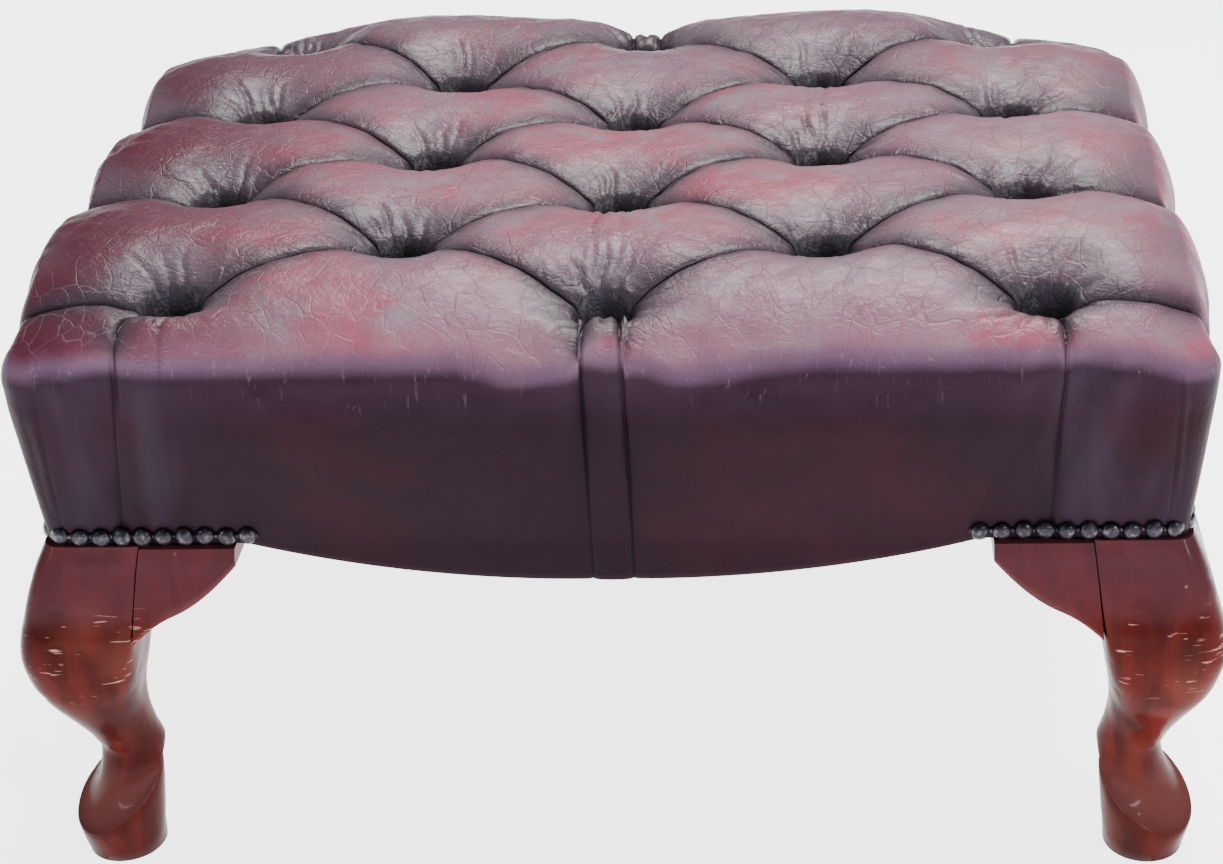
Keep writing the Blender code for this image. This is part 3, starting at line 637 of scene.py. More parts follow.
def fold_over(x, y):
    """Sideways shift, in plan, that laps the rear puff a little way over each diagonal fold."""
    shift_x, shift_y = np.zeros_like(x), np.zeros_like(y)
    for ax, ay, bx, by in BETWEEN:
        dx, dy = bx - ax, by - ay
        length = math.hypot(dx, dy)
        nx, ny = -dy / length, dx / length
        t = ((x - ax) * dx + (y - ay) * dy) / length ** 2
        across = (x - ax) * nx + (y - ay) * ny
        middle = smooth(t / 0.30) * smooth((1 - t) / 0.30)
        lap = np.clip(across / 0.0016, 0, 1) * np.exp(-np.maximum(across, 0) / 0.006)
        amount = np.where((t > 0) & (t < 1) & (np.abs(across) < 0.03), FOLD_LAP * middle * lap, 0)
        shift_x -= amount * nx
        shift_y -= amount * ny
    return shift_x, shift_y


def hexagonal(step):
    rows = np.arange(-TOP_Y, TOP_Y, step * 0.866)
    points = []
    for k, row in enumerate(rows):
        xs = np.arange(-TOP_X + (k % 2) * step / 2, TOP_X, step)
        points.append(np.stack([xs, np.full_like(xs, row)], 1))
    return np.concatenate(points)


def plan_points():
    """Points of the plan: rows along the folds, a close net round the buttons and an open one between."""
    kept = []
    for line_number, (ax, ay, bx, by) in enumerate(ALL_PLEATS):
        length = math.hypot(bx - ax, by - ay)
        ux, uy = (bx - ax) / length, (by - ay) / length
        along = np.linspace(0, length, max(3, int(length / 0.0022)))
        others = np.delete(ALL_PLEATS, line_number, 0)
        for grade in GRADES:
            for side in ((1, -1) if grade else (1,)):
                x = ax + ux * along - uy * grade * side
                y = ay + uy * along + ux * grade * side
                clear = distances(x, y, others).min(1) > grade * 1.3 + 0.0004
                kept.append(np.stack([x[clear], y[clear]], 1))
    for step, near_buttons in ((FINE_STEP, True), (OPEN_STEP, False)):
        points = hexagonal(step)
        x, y = points[:, 0], points[:, 1]
        r = np.min([np.hypot(x - bx, y - by) for bx, by in BUTTONS], 0)
        clear = fold_distance(x, y) > GRADES[-1] + step * 0.55
        zone = (r < 0.040) if near_buttons else (r >= 0.040 + FINE_STEP)
        kept.append(points[clear & zone])
    points = np.concatenate(kept)
    from_x, from_y = TOP_X - np.abs(points[:, 0]), TOP_Y - np.abs(points[:, 1])
    in_corner = (from_x < TOP_R) & (from_y < TOP_R)
    return points[(np.minimum(from_x, from_y) > 0.0010) & ~in_corner]


def side_seams(kind, sign):
    """Each seam of one side, as its place at the top edge and at the bottom."""
    if kind == "long":
        return [seam_place(-1, sign), (-STRIP, -STRIP), (STRIP, STRIP), seam_place(1, sign)]
    if kind == "short":
        return [(FRONT_ROW + k * ROW, (FRONT_ROW + k * ROW) * 1.01) for k in (0, 2, 4, 6)]
    return []


def side_columns(turn):
    """Columns of one side and of the corner after it, going round. They crowd together at the seams.

    A column is its place at the top's border, its place at the widest line, its outward
    direction, the kind of side, the side's sign, and its distance along that side.
    """
    long_side = turn % 2 == 0
    half_top, half_out = (TOP_X - TOP_R, HALF_X) if long_side else (TOP_Y - TOP_R, HALF_Y)
    sign = (-1, 1, 1, -1)[turn]
    kind = "long" if long_side else "short"
    across = HALF_Y if long_side else HALF_X
    straight = half_out - CORNER_R
    seams = [s[0] for s in side_seams(kind, sign)] + [0.004 - straight, straight - 0.004]
    places = [p for p in np.arange(-straight, straight, 0.0036) if min(abs(p - s) for s in seams) > 0.0080]
    for s in seams:
        places += [s + side * grade for grade in GRADES for side in ((1, -1) if grade else (1,))]
    forward = (1, 1, -1, -1)[turn]
    out = ((0, -1), (1, 0), (0, 1), (-1, 0))[turn]
    near = 0.60 * straight
    columns = []
    for p in sorted((p for p in places if -straight <= p < straight), reverse=forward < 0):
        spread = near + (abs(p) - near) * (half_top - near) / (straight - near)
        q = p if abs(p) <= near else math.copysign(spread, p)
        inner, outer = across - EDGE_IN, across
        if long_side:
            columns.append(((q, sign * inner), (p, sign * outer), out, kind, sign, p))
        else:
            columns.append(((sign * inner, q), (sign * outer, p), out, kind, sign, p))
    corner_x = (1, 1, -1, -1)[turn]
    corner_y = (-1, 1, 1, -1)[turn]
    steps = 10
    for k in range(steps):
        angle = (turn - 1 + k / steps) * math.pi / 2
        out = (math.cos(angle), math.sin(angle))
        top = (corner_x * (TOP_X - TOP_R) + TOP_R * out[0], corner_y * (TOP_Y - TOP_R) + TOP_R * out[1])
        wide_x = corner_x * (HALF_X - CORNER_R) + CORNER_R * out[0]
        wide_y = corner_y * (HALF_Y - CORNER_R) + CORNER_R * out[1]
        columns.append((top, (wide_x, wide_y), out, "corner", 0, 0.0))
    return columns


def lower_edge(kind, place):
    if kind == "corner":
        return Z_SHOULDER
    low, end = (Z_LOW, APRON_END_LONG) if kind == "long" else (Z_APRON_SHORT, APRON_END_SHORT)
    return low + (Z_SHOULDER - low) * min(1.0, abs(place) / end) ** APRON_POWER


def side_relief(kind, sign, place, down, strength):
    """How far a side's face stands out at a place, and how far its seam has slid along the side."""
    outward = 0.0006
    slide = 0.0
    seams = side_seams(kind, sign)
    if seams:
        gaps = [abs(place - s[0]) for s in seams]
        near = min(gaps)
        seam = seams[gaps.index(near)]
        valley = 0.0045 * (1 - 0.8 * down) if kind == "long" else 0.0080 * max(0.0, 1 - 1.2 * down)
        if kind == "long" and abs(place) < STRIP:
            outward -= valley * 0.75 - 0.0010 * (1 - (place / STRIP) ** 2)
        else:
            round_in = (0.5 + 0.5 * math.cos(math.pi * min(near / ROW, 1.0))) ** 1.4
            at_front = 0.5 if abs(seam[0] - FRONT_ROW) < 1e-3 else 1.0
            outward -= valley * (math.exp(-near / 0.016) if kind == "long" else at_front * round_in)
        outward -= 0.0015 * (1 - 0.35 * down) * math.exp(-near / 0.0010)
        belly = math.sin(math.pi * min(1.0, 0.95 * down + 0.22)) ** 1.5
        outward += (0.0036 if kind == "long" else 0.0050) * belly * min(1.0, near / 0.045)
        if kind == "long" and abs(seam[0]) > STRIP:
            inside = abs(seam[0]) - abs(place)
            upper = max(0.0, 1 - 1.1 * down)
            outward += 0.0040 * math.exp(-((inside - 0.020 + 0.008 * down) / 0.008) ** 2) * upper
            outward += 0.0034 * math.exp(-((inside + 0.024 - 0.022 * down) / 0.006) ** 2) * upper
        slack = math.exp(-near / 0.030) * (1 - down) ** 0.7
        outward += 0.0021 * slack * math.sin(place / 0.0045 + 5 * down + 7 * seam[0])
        slide = (seam[1] - seam[0]) * down * math.exp(-(near / 0.030) ** 2)
        corner_fold = (HALF_X if kind == "long" else HALF_Y) - CORNER_R - 0.004
        outward -= 0.0008 * math.exp(-abs(abs(place) - corner_fold) / 0.0011)
    return strength * outward, slide


def border_slope(column):
    """How steeply the top falls outwards where it meets its border."""
    (x, y), _, (nx, ny), *_ = column
    step = 0.003
    xs = np.array([x, x - nx * step])
    ys = np.array([y, y - ny * step])
    z = height(xs, ys, fine=False)
    return max(0.0, (z[1] - z[0]) / step)


ROUNDING_ROWS = 12
WALL_ROWS = 36
HEM_ROWS = 4


def side_rows(columns, top_heights):
    """Points of the sides, row by row, from just below the border down to the hem under the rails."""
    slopes = [min(1.2, border_slope(c)) for c in columns]
    rows = []
    for row in range(1, ROUNDING_ROWS + WALL_ROWS + HEM_ROWS + 1):
        points = []
        for (top, wide, (nx, ny), kind, sign, place), z_top, slope in zip(columns, top_heights, slopes):
            z_end = lower_edge(kind, place)
            down, strength, inset = 0.0, 1.0, 0.0
            if row <= ROUNDING_ROWS:
                u = row / ROUNDING_ROWS
                run = math.hypot(wide[0] - top[0], wide[1] - top[1])
                a, b = (1 - u) ** 3, 3 * u * (1 - u) ** 2
                c, e = 3 * u * u * (1 - u), u ** 3
                lean = 0.55
                px = top[0] * a + (top[0] + (wide[0] - top[0]) * lean) * b + wide[0] * (c + e)
                py = top[1] * a + (top[1] + (wide[1] - top[1]) * lean) * b + wide[1] * (c + e)
                knuckle = Z_WIDEST + (z_top - Z_WIDEST) * 0.5
                pz = z_top * a + (z_top - slope * run * lean) * b + knuckle * c + Z_WIDEST * e
                strength = smooth(u)
            elif row <= ROUNDING_ROWS + WALL_ROWS:
                down = (row - ROUNDING_ROWS) / WALL_ROWS
                pz = Z_WIDEST + (z_end - Z_WIDEST) * down
                px, py = wide
                inset = TAPER_IN * min(1.0, (Z_WIDEST - pz) / (Z_WIDEST - Z_SHOULDER)) ** 1.2
            else:
                down = 1.0
                hem = row - ROUNDING_ROWS - WALL_ROWS
                reach = (0.245, 0.170)[kind == "short"]
                under_rail = kind != "corner" and abs(place) < reach
                px, py = wide
                pz = z_end + (-0.0004, -0.0002, 0.0004, 0.0008)[hem - 1]
                tucked = 1.0 if under_rail else 0.12
                inset = TAPER_IN + (0.0010, 0.0026, 0.0090, 0.0160)[hem - 1] * tucked
            outward, slide = side_relief(kind, sign, place, down, strength)
            along_x, along_y = (1, 0) if kind == "long" else (0, 1)
            px += nx * (outward - inset) + along_x * slide
            py += ny * (outward - inset) + along_y * slide
            points.append((px, py, pz))
        rows.append(points)
    return rows


def upholstery_mesh():
    """The whole cover as one skin: the buttoned top, the rounded edge, the sides and the hem."""
    columns = [c for turn in range(4) for c in side_columns(turn)]
    count = len(columns)
    points = np.concatenate([np.array([c[0] for c in columns]), plan_points()])
    found = delaunay_2d_cdt([Vector(p) for p in points], [], [list(range(count))], 1, 1e-6, True)
    plan = np.array([tuple(v) for v in found[0]])
    new_index = {old: new for new, olds in enumerate(found[3]) for old in olds}
    x, y = plan[:, 0], plan[:, 1]
    shift_x, shift_y = fold_over(x, y)
    verts = [tuple(v) for v in np.stack([x + shift_x, y + shift_y, height(x, y)], 1)]
    faces = [tuple(f) for f in found[2]]
    hollow, crease = hollow_value(x, y), crease_value(x, y)
    upper = [new_index[i] for i in range(count)]
    hollows, creases = list(hollow), list(crease)
    reliefs = list(relief_value(x, y, np.array(verts)[:, 2]))
    valley = valley_value(x, y)
    valleys = list(valley)
    lit_end = [min(LIT_Z, verts[i][2] + 0.002) for i in upper]
    lits = [1.0] * len(verts)
    border_hollow, border_crease, border_valley = hollow[upper], crease[upper], valley[upper]
    for row, points in enumerate(side_rows(columns, [verts[i][2] for i in upper]), start=1):
        lower = range(len(verts), len(verts) + count)
        verts += points
        fade = max(0.0, 1 - row / ROUNDING_ROWS)
        hollows += list(border_hollow * fade)
        creases += list(border_crease * 0.6)
        reliefs += [0.4] * count
        valleys += list(border_valley * fade)
        depths = [(end - point[2]) / LIT_DEPTH for end, point in zip(lit_end, points)]
        lits += [min(1.0, max(0.0, 1 - depth)) for depth in depths]
        for i in range(count):
            j = (i + 1) % count
            faces.append((upper[i], lower[i], lower[j], upper[j]))
        upper = lower
    mesh = bpy.data.meshes.new("leather_top")
    mesh.from_pydata(verts, [], faces)
    mesh.update()
    shades = {"hollow": hollows, "crease": creases, "relief": reliefs, "valley": valleys, "lit": lits}
    for name, values in shades.items():
        shade = mesh.attributes.new(name, "FLOAT", "POINT")
        shade.data.foreach_set("value", np.array(values, np.float32))
    return mesh


# ---- pieces ----

def add_piece(name, mesh, material, slot, *nodes):
    """A finished piece: its mesh, shaded smooth, its material, and the CAD nodes that it stands for."""
    mesh.name = name
    mesh.materials.clear()
    mesh.materials.append(material)
    mesh.shade_smooth()
    obj = bpy.data.objects.new(name, mesh)
    bpy.context.collection.objects.link(obj)
    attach(obj, "root")
    if nodes:
        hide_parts(*nodes)
    return obj


def mesh_from(bm, sharp_degrees=None):
    bmesh.ops.recalc_face_normals(bm, faces=bm.faces)
    mesh = bpy.data.meshes.new("mesh")
    bm.to_mesh(mesh)
    bm.free()
    if sharp_degrees:
        mesh.shade_smooth()
        mesh.set_sharp_from_angle(angle=math.radians(sharp_degrees))
    return mesh


def loft(bm, rings, tip=None):
    """Join rings of points, each with as many as the last. The last closes on a tip, if one is given."""
    loops = [[bm.verts.new(p) for p in ring] for ring in rings]
    count = len(loops[0])
    for low, high in zip(loops, loops[1:]):
        for i in range(count):
            j = (i + 1) % count
            bm.faces.new((low[i], low[j], high[j], high[i]))
    bm.faces.new(loops[0][::-1])
    if tip is None:
        bm.faces.new(loops[-1])
        return
    tip = bm.verts.new(tip)
    for i in range(count):
        bm.faces.new((loops[-1][i], loops[-1][(i + 1) % count], tip))


def held_weight(x, y, z):
    """1 where the cover is tied or tacked down, 0 where it may swell."""
    tied = 1 - smooth((button_distance(x, y) - 0.012) / 0.014)
    folded = 0.9 * (1 - smooth(fold_distance(x, y) / 0.010))
    tacked = smooth((Z_WIDEST - 0.012 - z) / 0.050)
    on_top = z > Z_WIDEST
    return np.maximum(np.where(on_top, np.maximum(tied, folded), 0.0), tacked)


def swell(obj):
    """Let the cover swell as cloth over its stuffing, held at its buttons, folds and tacked edge.

    A coarse copy is simulated, and its movement, capped, is carried over to the fine mesh.
    """
    copy = bpy.data.objects.new("coarse_cover", obj.data.copy())
    bpy.context.collection.objects.link(copy)
    thin = copy.modifiers.new("thin", "DECIMATE")
    thin.ratio = COARSE_RATIO
    thinned = copy.evaluated_get(bpy.context.evaluated_depsgraph_get())
    copy.data = bpy.data.meshes.new_from_object(thinned)
    copy.modifiers.clear()
    start = np.array([v.co[:] for v in copy.data.vertices])
    group = copy.vertex_groups.new(name="held")
    for index, weight in enumerate(held_weight(*start.T)):
        group.add([index], float(weight), "REPLACE")
    cloth = copy.modifiers.new("cloth", "CLOTH")
    cloth.settings.vertex_group_mass = "held"
    cloth.settings.use_pressure = True
    cloth.settings.uniform_pressure_force = PRESSURE
    cloth.settings.effector_weights.gravity = 0.0
    cloth.settings.quality = 6
    cloth.settings.mass = 0.02
    cloth.settings.tension_stiffness = 12.0
    cloth.settings.compression_stiffness = 6.0
    cloth.settings.bending_stiffness = 0.15
    for number in range(1, SWELL_FRAMES + 1):
        bpy.context.scene.frame_set(number)
    swollen = copy.evaluated_get(bpy.context.evaluated_depsgraph_get())
    moved = np.array([v.co[:] for v in swollen.data.vertices]) - start
    bpy.context.scene.frame_set(1)
    bpy.data.objects.remove(copy)
    length = np.linalg.norm(moved, axis=1, keepdims=True)
    moved *= np.minimum(1.0, SWELL_CAP / np.maximum(length, 1e-9))
    tree = KDTree(len(start))
    for index, place in enumerate(start):
        tree.insert(place, index)
    tree.balance()
    for vertex in obj.data.vertices:
        near = tree.find_n(vertex.co, 6)
        weights = [1 / (distance + 0.0015) ** 2 for _, _, distance in near]
        shift = sum(moved[index] * w for (_, index, _), w in zip(near, weights)) / sum(weights)
        vertex.co += Vector(shift)


def make_leather():
    mesh = upholstery_mesh()
    bm = bmesh.new()
    bm.from_mesh(mesh)
    bmesh.ops.recalc_face_normals(bm, faces=bm.faces)
    bm.to_mesh(mesh)
    bm.free()
    leather = add_piece("buttoned_leather", mesh, leather_material(), "leather", "leather_cover")
    swell(leather)


WADDING_FACE = 0.0025            # depths under the leather
WADDING_BASE = 0.0115
FOAM_FACE = WADDING_BASE + GAP
FILLING_STEP = 0.006


def blanket_mesh(face_depth, base_depth, z_flat):
    """A closed layer inside the cover. Its face and its base are this deep under the leather.

    Neither goes below z_flat, so a very deep base makes a block with a flat underside.
    """
    count_x, count_y = int(2 * TOP_X / FILLING_STEP), int(2 * TOP_Y / FILLING_STEP)
    xs, ys = np.linspace(-TOP_X, TOP_X, count_x), np.linspace(-TOP_Y, TOP_Y, count_y)
    grid_x, grid_y = (g.ravel() for g in np.meshgrid(xs, ys))
    offsets = [share * FILLING_STEP for share in (-1.2, -0.6, 0.0, 0.6, 1.2)]
    lowest = np.min([height(grid_x + dx, grid_y + dy) for dx in offsets for dy in offsets], 0)
    top, base = (
        np.stack([grid_x, grid_y, np.maximum(lowest - depth, z_flat)], 1) * (0.985, 0.98, 1.0)
        for depth in (face_depth, base_depth)
    )
    bm = bmesh.new()
    upper, lower = ([bm.verts.new(p) for p in points] for points in (top, base))
    for verts, turn in ((upper, 1), (lower, -1)):
        for j in range(count_y - 1):
            for a in range(j * count_x, (j + 1) * count_x - 1):
                bm.faces.new((verts[a], verts[a + 1], verts[a + count_x + 1], verts[a + count_x])[::turn])
    rim = list(range(count_x)) + [j * count_x - 1 for j in range(2, count_y + 1)]
    rim += list(range(count_x * count_y - 2, count_x * (count_y - 1) - 1, -1))
    rim += [j * count_x for j in range(count_y - 2, 0, -1)]
    for a, b in zip(rim, rim[1:] + rim[:1]):
        bm.faces.new((upper[a], lower[a], lower[b], upper[b]))
    return mesh_from(bm)


def make_fillings():
    """The wadding and the foam under it, both drawn down at the buttons. The cover hides them."""
    wadding = foam_material("polyester_wadding", (0.62, 0.62, 0.60), (0.84, 0.84, 0.82), 300.0)
    foam = foam_material("seat_foam", (0.50, 0.42, 0.20), (0.72, 0.64, 0.38), 420.0)
    z_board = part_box("seat_board")[1].z + GAP
    layer = blanket_mesh(WADDING_FACE, WADDING_BASE, z_board)
    add_piece("wadding_layer", layer, wadding, "wadding", "wadding")
    block = blanket_mesh(FOAM_FACE, math.inf, z_board)
    add_piece("foam_block", block, foam, "foam", "foam_pad")


BUTTON_R = 0.0105
TWINE_R = 0.0012
# a button's outline, from its underside to its crown, as shares of its radius and of its rise
BUTTON_OUTLINE = (
    (0.80, 0.0), (0.90, 0.05), (0.97, 0.16), (1.0, 0.32), (0.97, 0.48), (0.88, 0.66), (0.72, 0.82),
    (0.50, 0.93), (0.25, 0.985),
)


def circle(radius, z, sides, gathered=0.0):
    """A level ring of points round Z, its radius gathered into small pleats."""
    ring = []
    for i in range(sides):
        angle = 2 * math.pi * i / sides
        r = radius * (1 + gathered * math.sin(11 * angle + 2 * math.sin(3 * angle)))
        ring.append((r * math.cos(angle), r * math.sin(angle), z))
    return ring


def button_mesh(z_knot, z_crown):
    """A covered button: a domed cap, gathered under its rim, over the knotted twine that holds it."""
    z_cap = Z_POCKET + GAP
    bm = bmesh.new()
    cap = [
        circle(BUTTON_R * share, z_cap + (z_crown - z_cap) * up, 40, 0.035 * max(0.0, 0.6 - up))
        for share, up in BUTTON_OUTLINE
    ]
    loft(bm, cap, (0.0, 0.0, z_crown))
    knot = ((1.8, 0.0), (2.2, 0.0008), (2.2, 0.0024), (1.3, 0.0034), (1.0, 0.0042))
    twine = (*knot, (1.0, z_cap - z_knot + GAP))
    loft(bm, [circle(TWINE_R * share, z_knot + up, 10) for share, up in twine])
    return mesh_from(bm)


def make_buttons():
    material = button_material()
    for index, (x, y) in enumerate(BUTTONS, start=1):
        node = f"button_{index:02d}"
        low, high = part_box(node)
        mesh = button_mesh(low.z, high.z)
        mesh.transform(Matrix.Translation((x, y, 0)))
        add_piece(f"covered_{node}", mesh, material, "button_leather", node)


# ---- legs ----

# places along X, which also serve along Y less LEG_SKEW
FOOT_C = 0.283                   # the foot's centre
FOOT_BASE_R = 0.0215
FOOT_R = 0.0258
Z_FOOT_EDGE = (0.020, 0.058)     # the foot's crisp edge, outside and inside
Z_ANKLE = 0.064
RAIL_OUT = 0.2925                # outer face of the rails and the posts
POST = 0.045
EAR_TIP = 0.196                  # the ears' thin end, and their root beside the leg
EAR_ROOT = 0.2522
EAR_BACK = 0.0200
Z_EAR_TOP = 0.1985
EAR_GAP = 0.00012                # a close glued joint
# height, outer face, inner face, squareness of the outer corner, squareness of the others
LEG_SECTIONS = np.array((
    (0.064, 0.2915, 0.2565, 2.0, 2.0),
    (0.076, 0.2958, 0.2592, 2.1, 2.1),
    (0.090, 0.3030, 0.2605, 2.3, 2.3),
    (0.104, 0.3105, 0.2600, 2.6, 2.8),
    (0.121, 0.3165, 0.2570, 3.0, 4.0),
    (0.137, 0.3185, 0.2545, 3.4, 6.0),
    (0.150, 0.3165, 0.2525, 3.8, 12.0),
    (0.160, 0.3135, 0.2513, 4.2, 24.0),
    (0.172, 0.3100, 0.2499, 4.8, 30.0),
    (0.187, 0.3045, 0.2481, 5.5, 34.0),
    (0.1997, 0.2985, 0.2465, 6.0, 38.0),
))
LEG_SIDES = 72


def leg_value(z, column):
    """One column of the leg's sections at a height, as a smooth curve through them."""
    heights = LEG_SECTIONS[:, 0]
    values = LEG_SECTIONS[:, column]
    i = int(np.clip(np.searchsorted(heights, z) - 1, 0, len(heights) - 2))
    slopes = np.gradient(values, heights)
    span = heights[i + 1] - heights[i]
    t = (z - heights[i]) / span
    a = (1 + 2 * t) * (1 - t) ** 2 * values[i] + t * (1 - t) ** 2 * span * slopes[i]
    b = t * t * (3 - 2 * t) * values[i + 1] + t * t * (t - 1) * span * slopes[i + 1]
    return float(a + b)


def leg_angles():
    return [2 * math.pi * i / LEG_SIDES for i in range(LEG_SIDES)]


def rounded_square(z, outer, inner, outer_power, other_power):
    """A ring of a leg. Its outer corner is at 45 degrees."""
    half, centre = (outer - inner) / 2, (outer + inner) / 2
    ring = []
    for angle in leg_angles():
        power = outer_power if angle <= math.pi / 2 else other_power
        c, s = math.cos(angle), math.sin(angle)
        r = half / (abs(c) ** power + abs(s) ** power) ** (1 / power)
        ring.append((centre + r * c, centre - LEG_SKEW + r * s, z))
    return ring


def foot_edge(angle):
    low, high = Z_FOOT_EDGE
    return low + (high - low) * (1 - math.cos(angle - math.pi / 4)) / 2


def foot_rings():
    """A tapered round foot, scooped out above a crisp slanting edge."""
    rings = []
    middle = (FOOT_BASE_R + FOOT_R) / 2
    profile = (
        (0.0, FOOT_BASE_R - 0.0012), (0.03, FOOT_BASE_R), (0.25, 0.4 * middle + 0.6 * FOOT_BASE_R),
        (0.45, middle), (0.75, 0.35 * middle + 0.65 * FOOT_R), (0.93, FOOT_R),
        (0.985, FOOT_R - 0.0003), (1.0, FOOT_R - 0.0011),
    )
    for up, radius in profile:
        ring = []
        for angle in leg_angles():
            x, y = FOOT_C + radius * math.cos(angle), FOOT_C - LEG_SKEW + radius * math.sin(angle)
            ring.append((x, y, up * foot_edge(angle)))
        rings.append(ring)
    rim = rings[-1]
    ankle = rounded_square(*LEG_SECTIONS[0])
    for step in range(1, 12):
        up = step / 12
        flare = (1 - up) ** 2.2
        rings.append([
            (ax + (fx - ax) * flare, ay + (fy - ay) * flare, fz + (Z_ANKLE - fz) * up)
            for (ax, ay, _), (fx, fy, fz) in zip(ankle, rim)
        ])
    return rings


def leg_mesh(sx, sy, seed):
    """The leg, with slight hand-cut unevenness, up to the top of its post."""
    rings = foot_rings()
    for z in np.linspace(Z_ANKLE, Z_SHOULDER - GAP, 62):
        rings.append(rounded_square(z, *(leg_value(z, column) for column in (1, 2, 3, 4))))
    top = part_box("leg_front_left")[1].z
    for z in (Z_SHOULDER - GAP, 0.21, 0.23, top):
        rings.append(rounded_square(z, RAIL_OUT, RAIL_OUT - POST, 3.5, 40.0))
    points = np.array(rings)
    x, y, z = (points[..., i] for i in range(3))
    wobble = wave_noise(x + seed, y + z, seed, 0.035)
    dents = np.minimum(0, wave_noise(x * 1.5 + y, z + seed, seed + 1, 0.011) + 0.9)
    visible = (z > 0.002) & (z < 0.195)
    centre = points.mean(1, keepdims=True)
    out = points - centre
    out[..., 2] = 0
    out /= np.linalg.norm(out, axis=-1, keepdims=True)
    points += out * ((0.00022 * wobble + 0.0006 * dents) * visible)[..., None]
    points *= (sx, sy, 1)
    bm = bmesh.new()
    loft(bm, points.tolist())
    return mesh_from(bm, 50)


def ear_lower_edge(a):
    """Height of an ear's lower edge, from its thin tip down to the knee."""
    t = (a - EAR_TIP) / (EAR_ROOT + GAP - EAR_TIP)
    return 0.1895 - 0.0205 * math.sin(min(1.0, t * 1.6) * math.pi / 2) - 0.0200 * t ** 3


def ear_mesh(sx, sy, on_long_side):
    """The shaped block that carries a knee's face out along under the rail."""
    back = RAIL_OUT - EAR_BACK
    steps, ups = 26, 16
    rings = []
    for step in range(steps + 1):
        t = step / steps
        z_low = ear_lower_edge(EAR_ROOT + t * (EAR_TIP - EAR_ROOT))
        ring = []
        for k in range(ups + 1):
            up = k / ups
            z = z_low + up * (Z_EAR_TOP - z_low)
            a_leg = leg_value(z, 2) - EAR_GAP
            a = a_leg + t * (EAR_TIP - a_leg)
            soften = 0.0022 * max(0.0, 1 - (z - z_low) / 0.004) ** 2
            ring.append((a, leg_value(z, 1) - soften, z))
        a_leg = leg_value(Z_EAR_TOP, 2) - EAR_GAP
        ring.append((a_leg + t * (EAR_TIP - a_leg), back, Z_EAR_TOP))
        a_leg = leg_value(z_low, 2) - EAR_GAP
        ring.append((a_leg + t * (EAR_TIP - a_leg), back, z_low))
        rings.append(ring)
    if on_long_side:
        rings = [[(sx * a, sy * (b - LEG_SKEW), z) for a, b, z in ring] for ring in rings]
    else:
        rings = [[(sx * b, sy * (a - LEG_SKEW), z) for a, b, z in ring] for ring in rings]
    bm = bmesh.new()
    loft(bm, rings)
    return mesh_from(bm, 40)


def make_legs():
    leg_wood = mahogany_material("polished_mahogany")
    ear_wood = mahogany_material("knee_block_mahogany")
    for number, (sx, sy) in enumerate(CORNERS):
        corner = corner_name(sx, sy)
        add_piece(f"cabriole_{corner}", leg_mesh(sx, sy, number + 1), leg_wood, "leg_wood", f"leg_{corner}")
        sides = ((corner.split("_")[0], True), ("side", False))
        for side, on_long_side in sides:
            node = f"ear_{corner}_{side}"
            add_piece(f"knee_{node}", ear_mesh(sx, sy, on_long_side), ear_wood, "ear_wood", node)


# ---- nail trim ----

NAIL_PITCH = 0.011
NAILS_PER_CORNER = 20
NAIL_R = 0.0052
NAIL_H = 0.0036
NAIL_Z = 0.2053
NAIL_FACE_X = 0.2968             # the leather's face behind the nails
TRIM_R = 0.016                   # radius of the trim round the corner


def trim_path(s):
    """Point and outward direction at a length along the trim, from the long side round to the short."""
    arc = TRIM_R * math.pi / 2
    straight = (NAILS_PER_CORNER * NAIL_PITCH - arc) / 2
    cx, cy = NAIL_FACE_X - TRIM_R, NAIL_FACE_X - LEG_SKEW - TRIM_R
    if s < straight:
        return Vector((cx - straight + s, NAIL_FACE_X - LEG_SKEW, 0.0)), Vector((0.0, 1.0, 0.0))
    if s > straight + arc:
        return Vector((NAIL_FACE_X, cy - (s - straight - arc), 0.0)), Vector((1.0, 0.0, 0.0))
    angle = math.pi / 2 - (s - straight) / TRIM_R
    out = Vector((math.cos(angle), math.sin(angle), 0.0))
    return Vector((cx, cy, 0.0)) + out * TRIM_R, out


def nail_dome(bm, place, out, rng):
    """One hammered nail head, a little uneven, tilted and turned."""
    along = Vector((-out.y, out.x, 0.0))
    up = Vector((0, 0, 1))
    tilt_a, tilt_b = rng.uniform(-0.12, 0.12), rng.uniform(-0.12, 0.12)
    wide, tall = rng.uniform(0.95, 1.06), rng.uniform(0.90, 1.04)
    sides, steps = 20, 7
    rings = []
    for k in range(steps):
        phi = (k / steps) * math.pi / 2
        radius, rise = NAIL_R * math.cos(phi) ** 0.8, NAIL_H * math.sin(phi)
        if k == 0:
            rise = -0.0004
        ring = []
        for i in range(sides):
            angle = 2 * math.pi * i / sides
            a, b = radius * wide * math.cos(angle), radius * tall * math.sin(angle)
            facet = 0.00010 * math.sin(5 * angle + 3 * k + 40 * place.x) * math.sin(2 * phi)
            ring.append(place + along * a + up * b + out * (rise + facet + tilt_a * a + tilt_b * b))
        rings.append(ring)
    loft(bm, rings, place + out * NAIL_H)


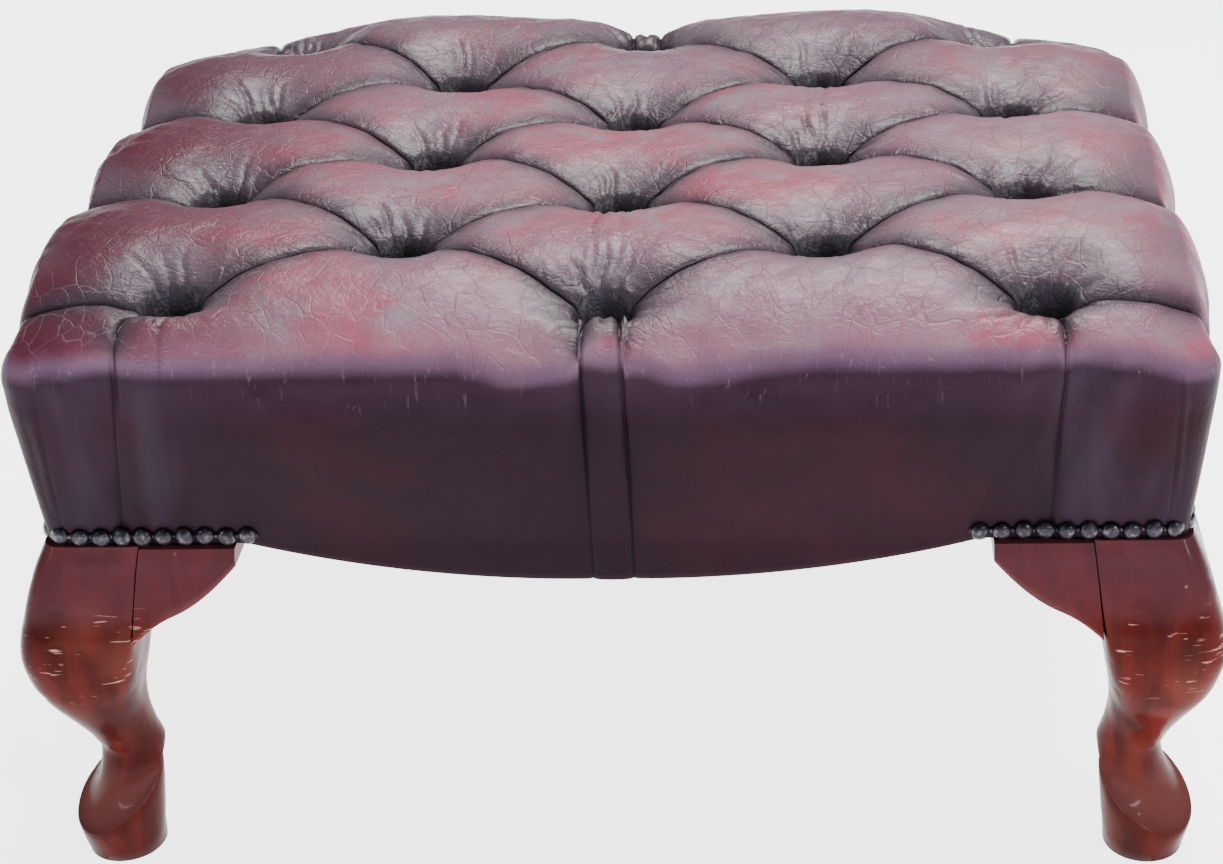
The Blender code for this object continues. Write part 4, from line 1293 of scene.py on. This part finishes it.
def trim_mesh(sx, sy, seed):
    rng = random.Random(seed)
    bm = bmesh.new()
    rings = []
    total = NAILS_PER_CORNER * NAIL_PITCH
    for step in range(4 * NAILS_PER_CORNER + 1):
        point, out = trim_path(total * step / (4 * NAILS_PER_CORNER))
        corners = ((-0.0002, -1), (0.0007, -0.7), (0.0010, 0), (0.0007, 0.7), (-0.0002, 1))
        rings.append([point + out * a + Vector((0, 0, NAIL_Z + b * 0.0017)) for a, b in corners])
    loft(bm, rings)
    for number in range(NAILS_PER_CORNER):
        point, out = trim_path((number + 0.5) * NAIL_PITCH)
        lift = Vector((0, 0, NAIL_Z + rng.uniform(-0.0005, 0.0005)))
        nail_dome(bm, point + lift, out, rng)
    bmesh.ops.transform(bm, matrix=Matrix.Diagonal((sx, sy, 1.0, 1.0)), verts=bm.verts)
    return mesh_from(bm)


def make_trims():
    metal = metal_material("blackened_nails", (0.016, 0.014, 0.019), (0.085, 0.075, 0.088), 0.26)
    for number, (sx, sy) in enumerate(CORNERS):
        corner = corner_name(sx, sy)
        add_piece(f"nails_{corner}", trim_mesh(sx, sy, number), metal, "nail_metal", f"nail_trim_{corner}")


# ---- underside and frame ----

def make_dust_cover():
    """A thin black cloth tacked inside the rails. It sags a little and puckers at its tacks."""
    low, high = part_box("dust_cover")
    post_x, post_y = RAIL_OUT - POST - 2 * GAP, RAIL_OUT - LEG_SKEW - POST - 2 * GAP
    half_x, half_y = high.x - GAP, high.y - GAP
    step = 0.006

    def marks(half, post):
        inner = int(2 * post / step)
        outer = max(2, int((half - post) / step))
        middle, end = np.linspace(-post, post, inner), np.linspace(post, half, outer)
        return [*np.linspace(-half, -post, outer), *middle[1:], *end[1:]]

    xs, ys = marks(half_x, post_x), marks(half_y, post_y)
    bm = bmesh.new()
    verts = {}
    for j, y in enumerate(ys):
        for i, x in enumerate(xs):
            edge = min(half_x - abs(x), half_y - abs(y))
            sag = 0.0035 * (1 - (x / half_x) ** 2) * (1 - (y / half_y) ** 2)
            pucker = 0.0006 * math.exp(-edge / 0.012) * math.sin(x * 210) * math.cos(y * 230)
            verts[i, j] = (x, y, high.z - 0.0004 - sag + pucker)
    made = {}

    def vertex(key):
        if key not in made:
            made[key] = bm.verts.new(verts[key])
        return made[key]

    for j in range(len(ys) - 1):
        for i in range(len(xs) - 1):
            x, y = (xs[i] + xs[i + 1]) / 2, (ys[j] + ys[j + 1]) / 2
            if abs(x) > post_x and abs(y) > post_y:
                continue
            bm.faces.new([vertex(k) for k in ((i, j), (i + 1, j), (i + 1, j + 1), (i, j + 1))])
    cloth = cloth_material("dust_cloth", (0.010, 0.010, 0.011), (0.035, 0.035, 0.038), 260.0)
    piece = add_piece("dust_cloth", mesh_from(bm), cloth, "dust_cloth", "dust_cover")


def dress_frame():
    """Grain and brushed steel for the hidden nodes that keep their CAD shape."""
    beech = plain_wood_material("rail_beech", (0.42, 0.27, 0.15), (0.66, 0.47, 0.28), (1.2, 9, 9))
    pine = plain_wood_material("block_pine", (0.52, 0.36, 0.18), (0.74, 0.56, 0.33), (1.5, 7, 7))
    plywood = plain_wood_material("seat_plywood", (0.45, 0.31, 0.18), (0.66, 0.50, 0.32), (1.0, 12, 3))
    steel = metal_material("screw_steel", (0.35, 0.34, 0.32), (0.62, 0.60, 0.56), 0.30)
    looks = {"rail": beech, "corner_block": pine, "seat_board": plywood, "screw": steel}
    for node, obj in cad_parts.items():
        for word, material in looks.items():
            if word in node:
                obj.data.materials.clear()
                obj.data.materials.append(material)


make_camera()
make_studio()
make_leather()
make_fillings()
make_buttons()
make_legs()
make_trims()
make_dust_cover()
dress_frame()
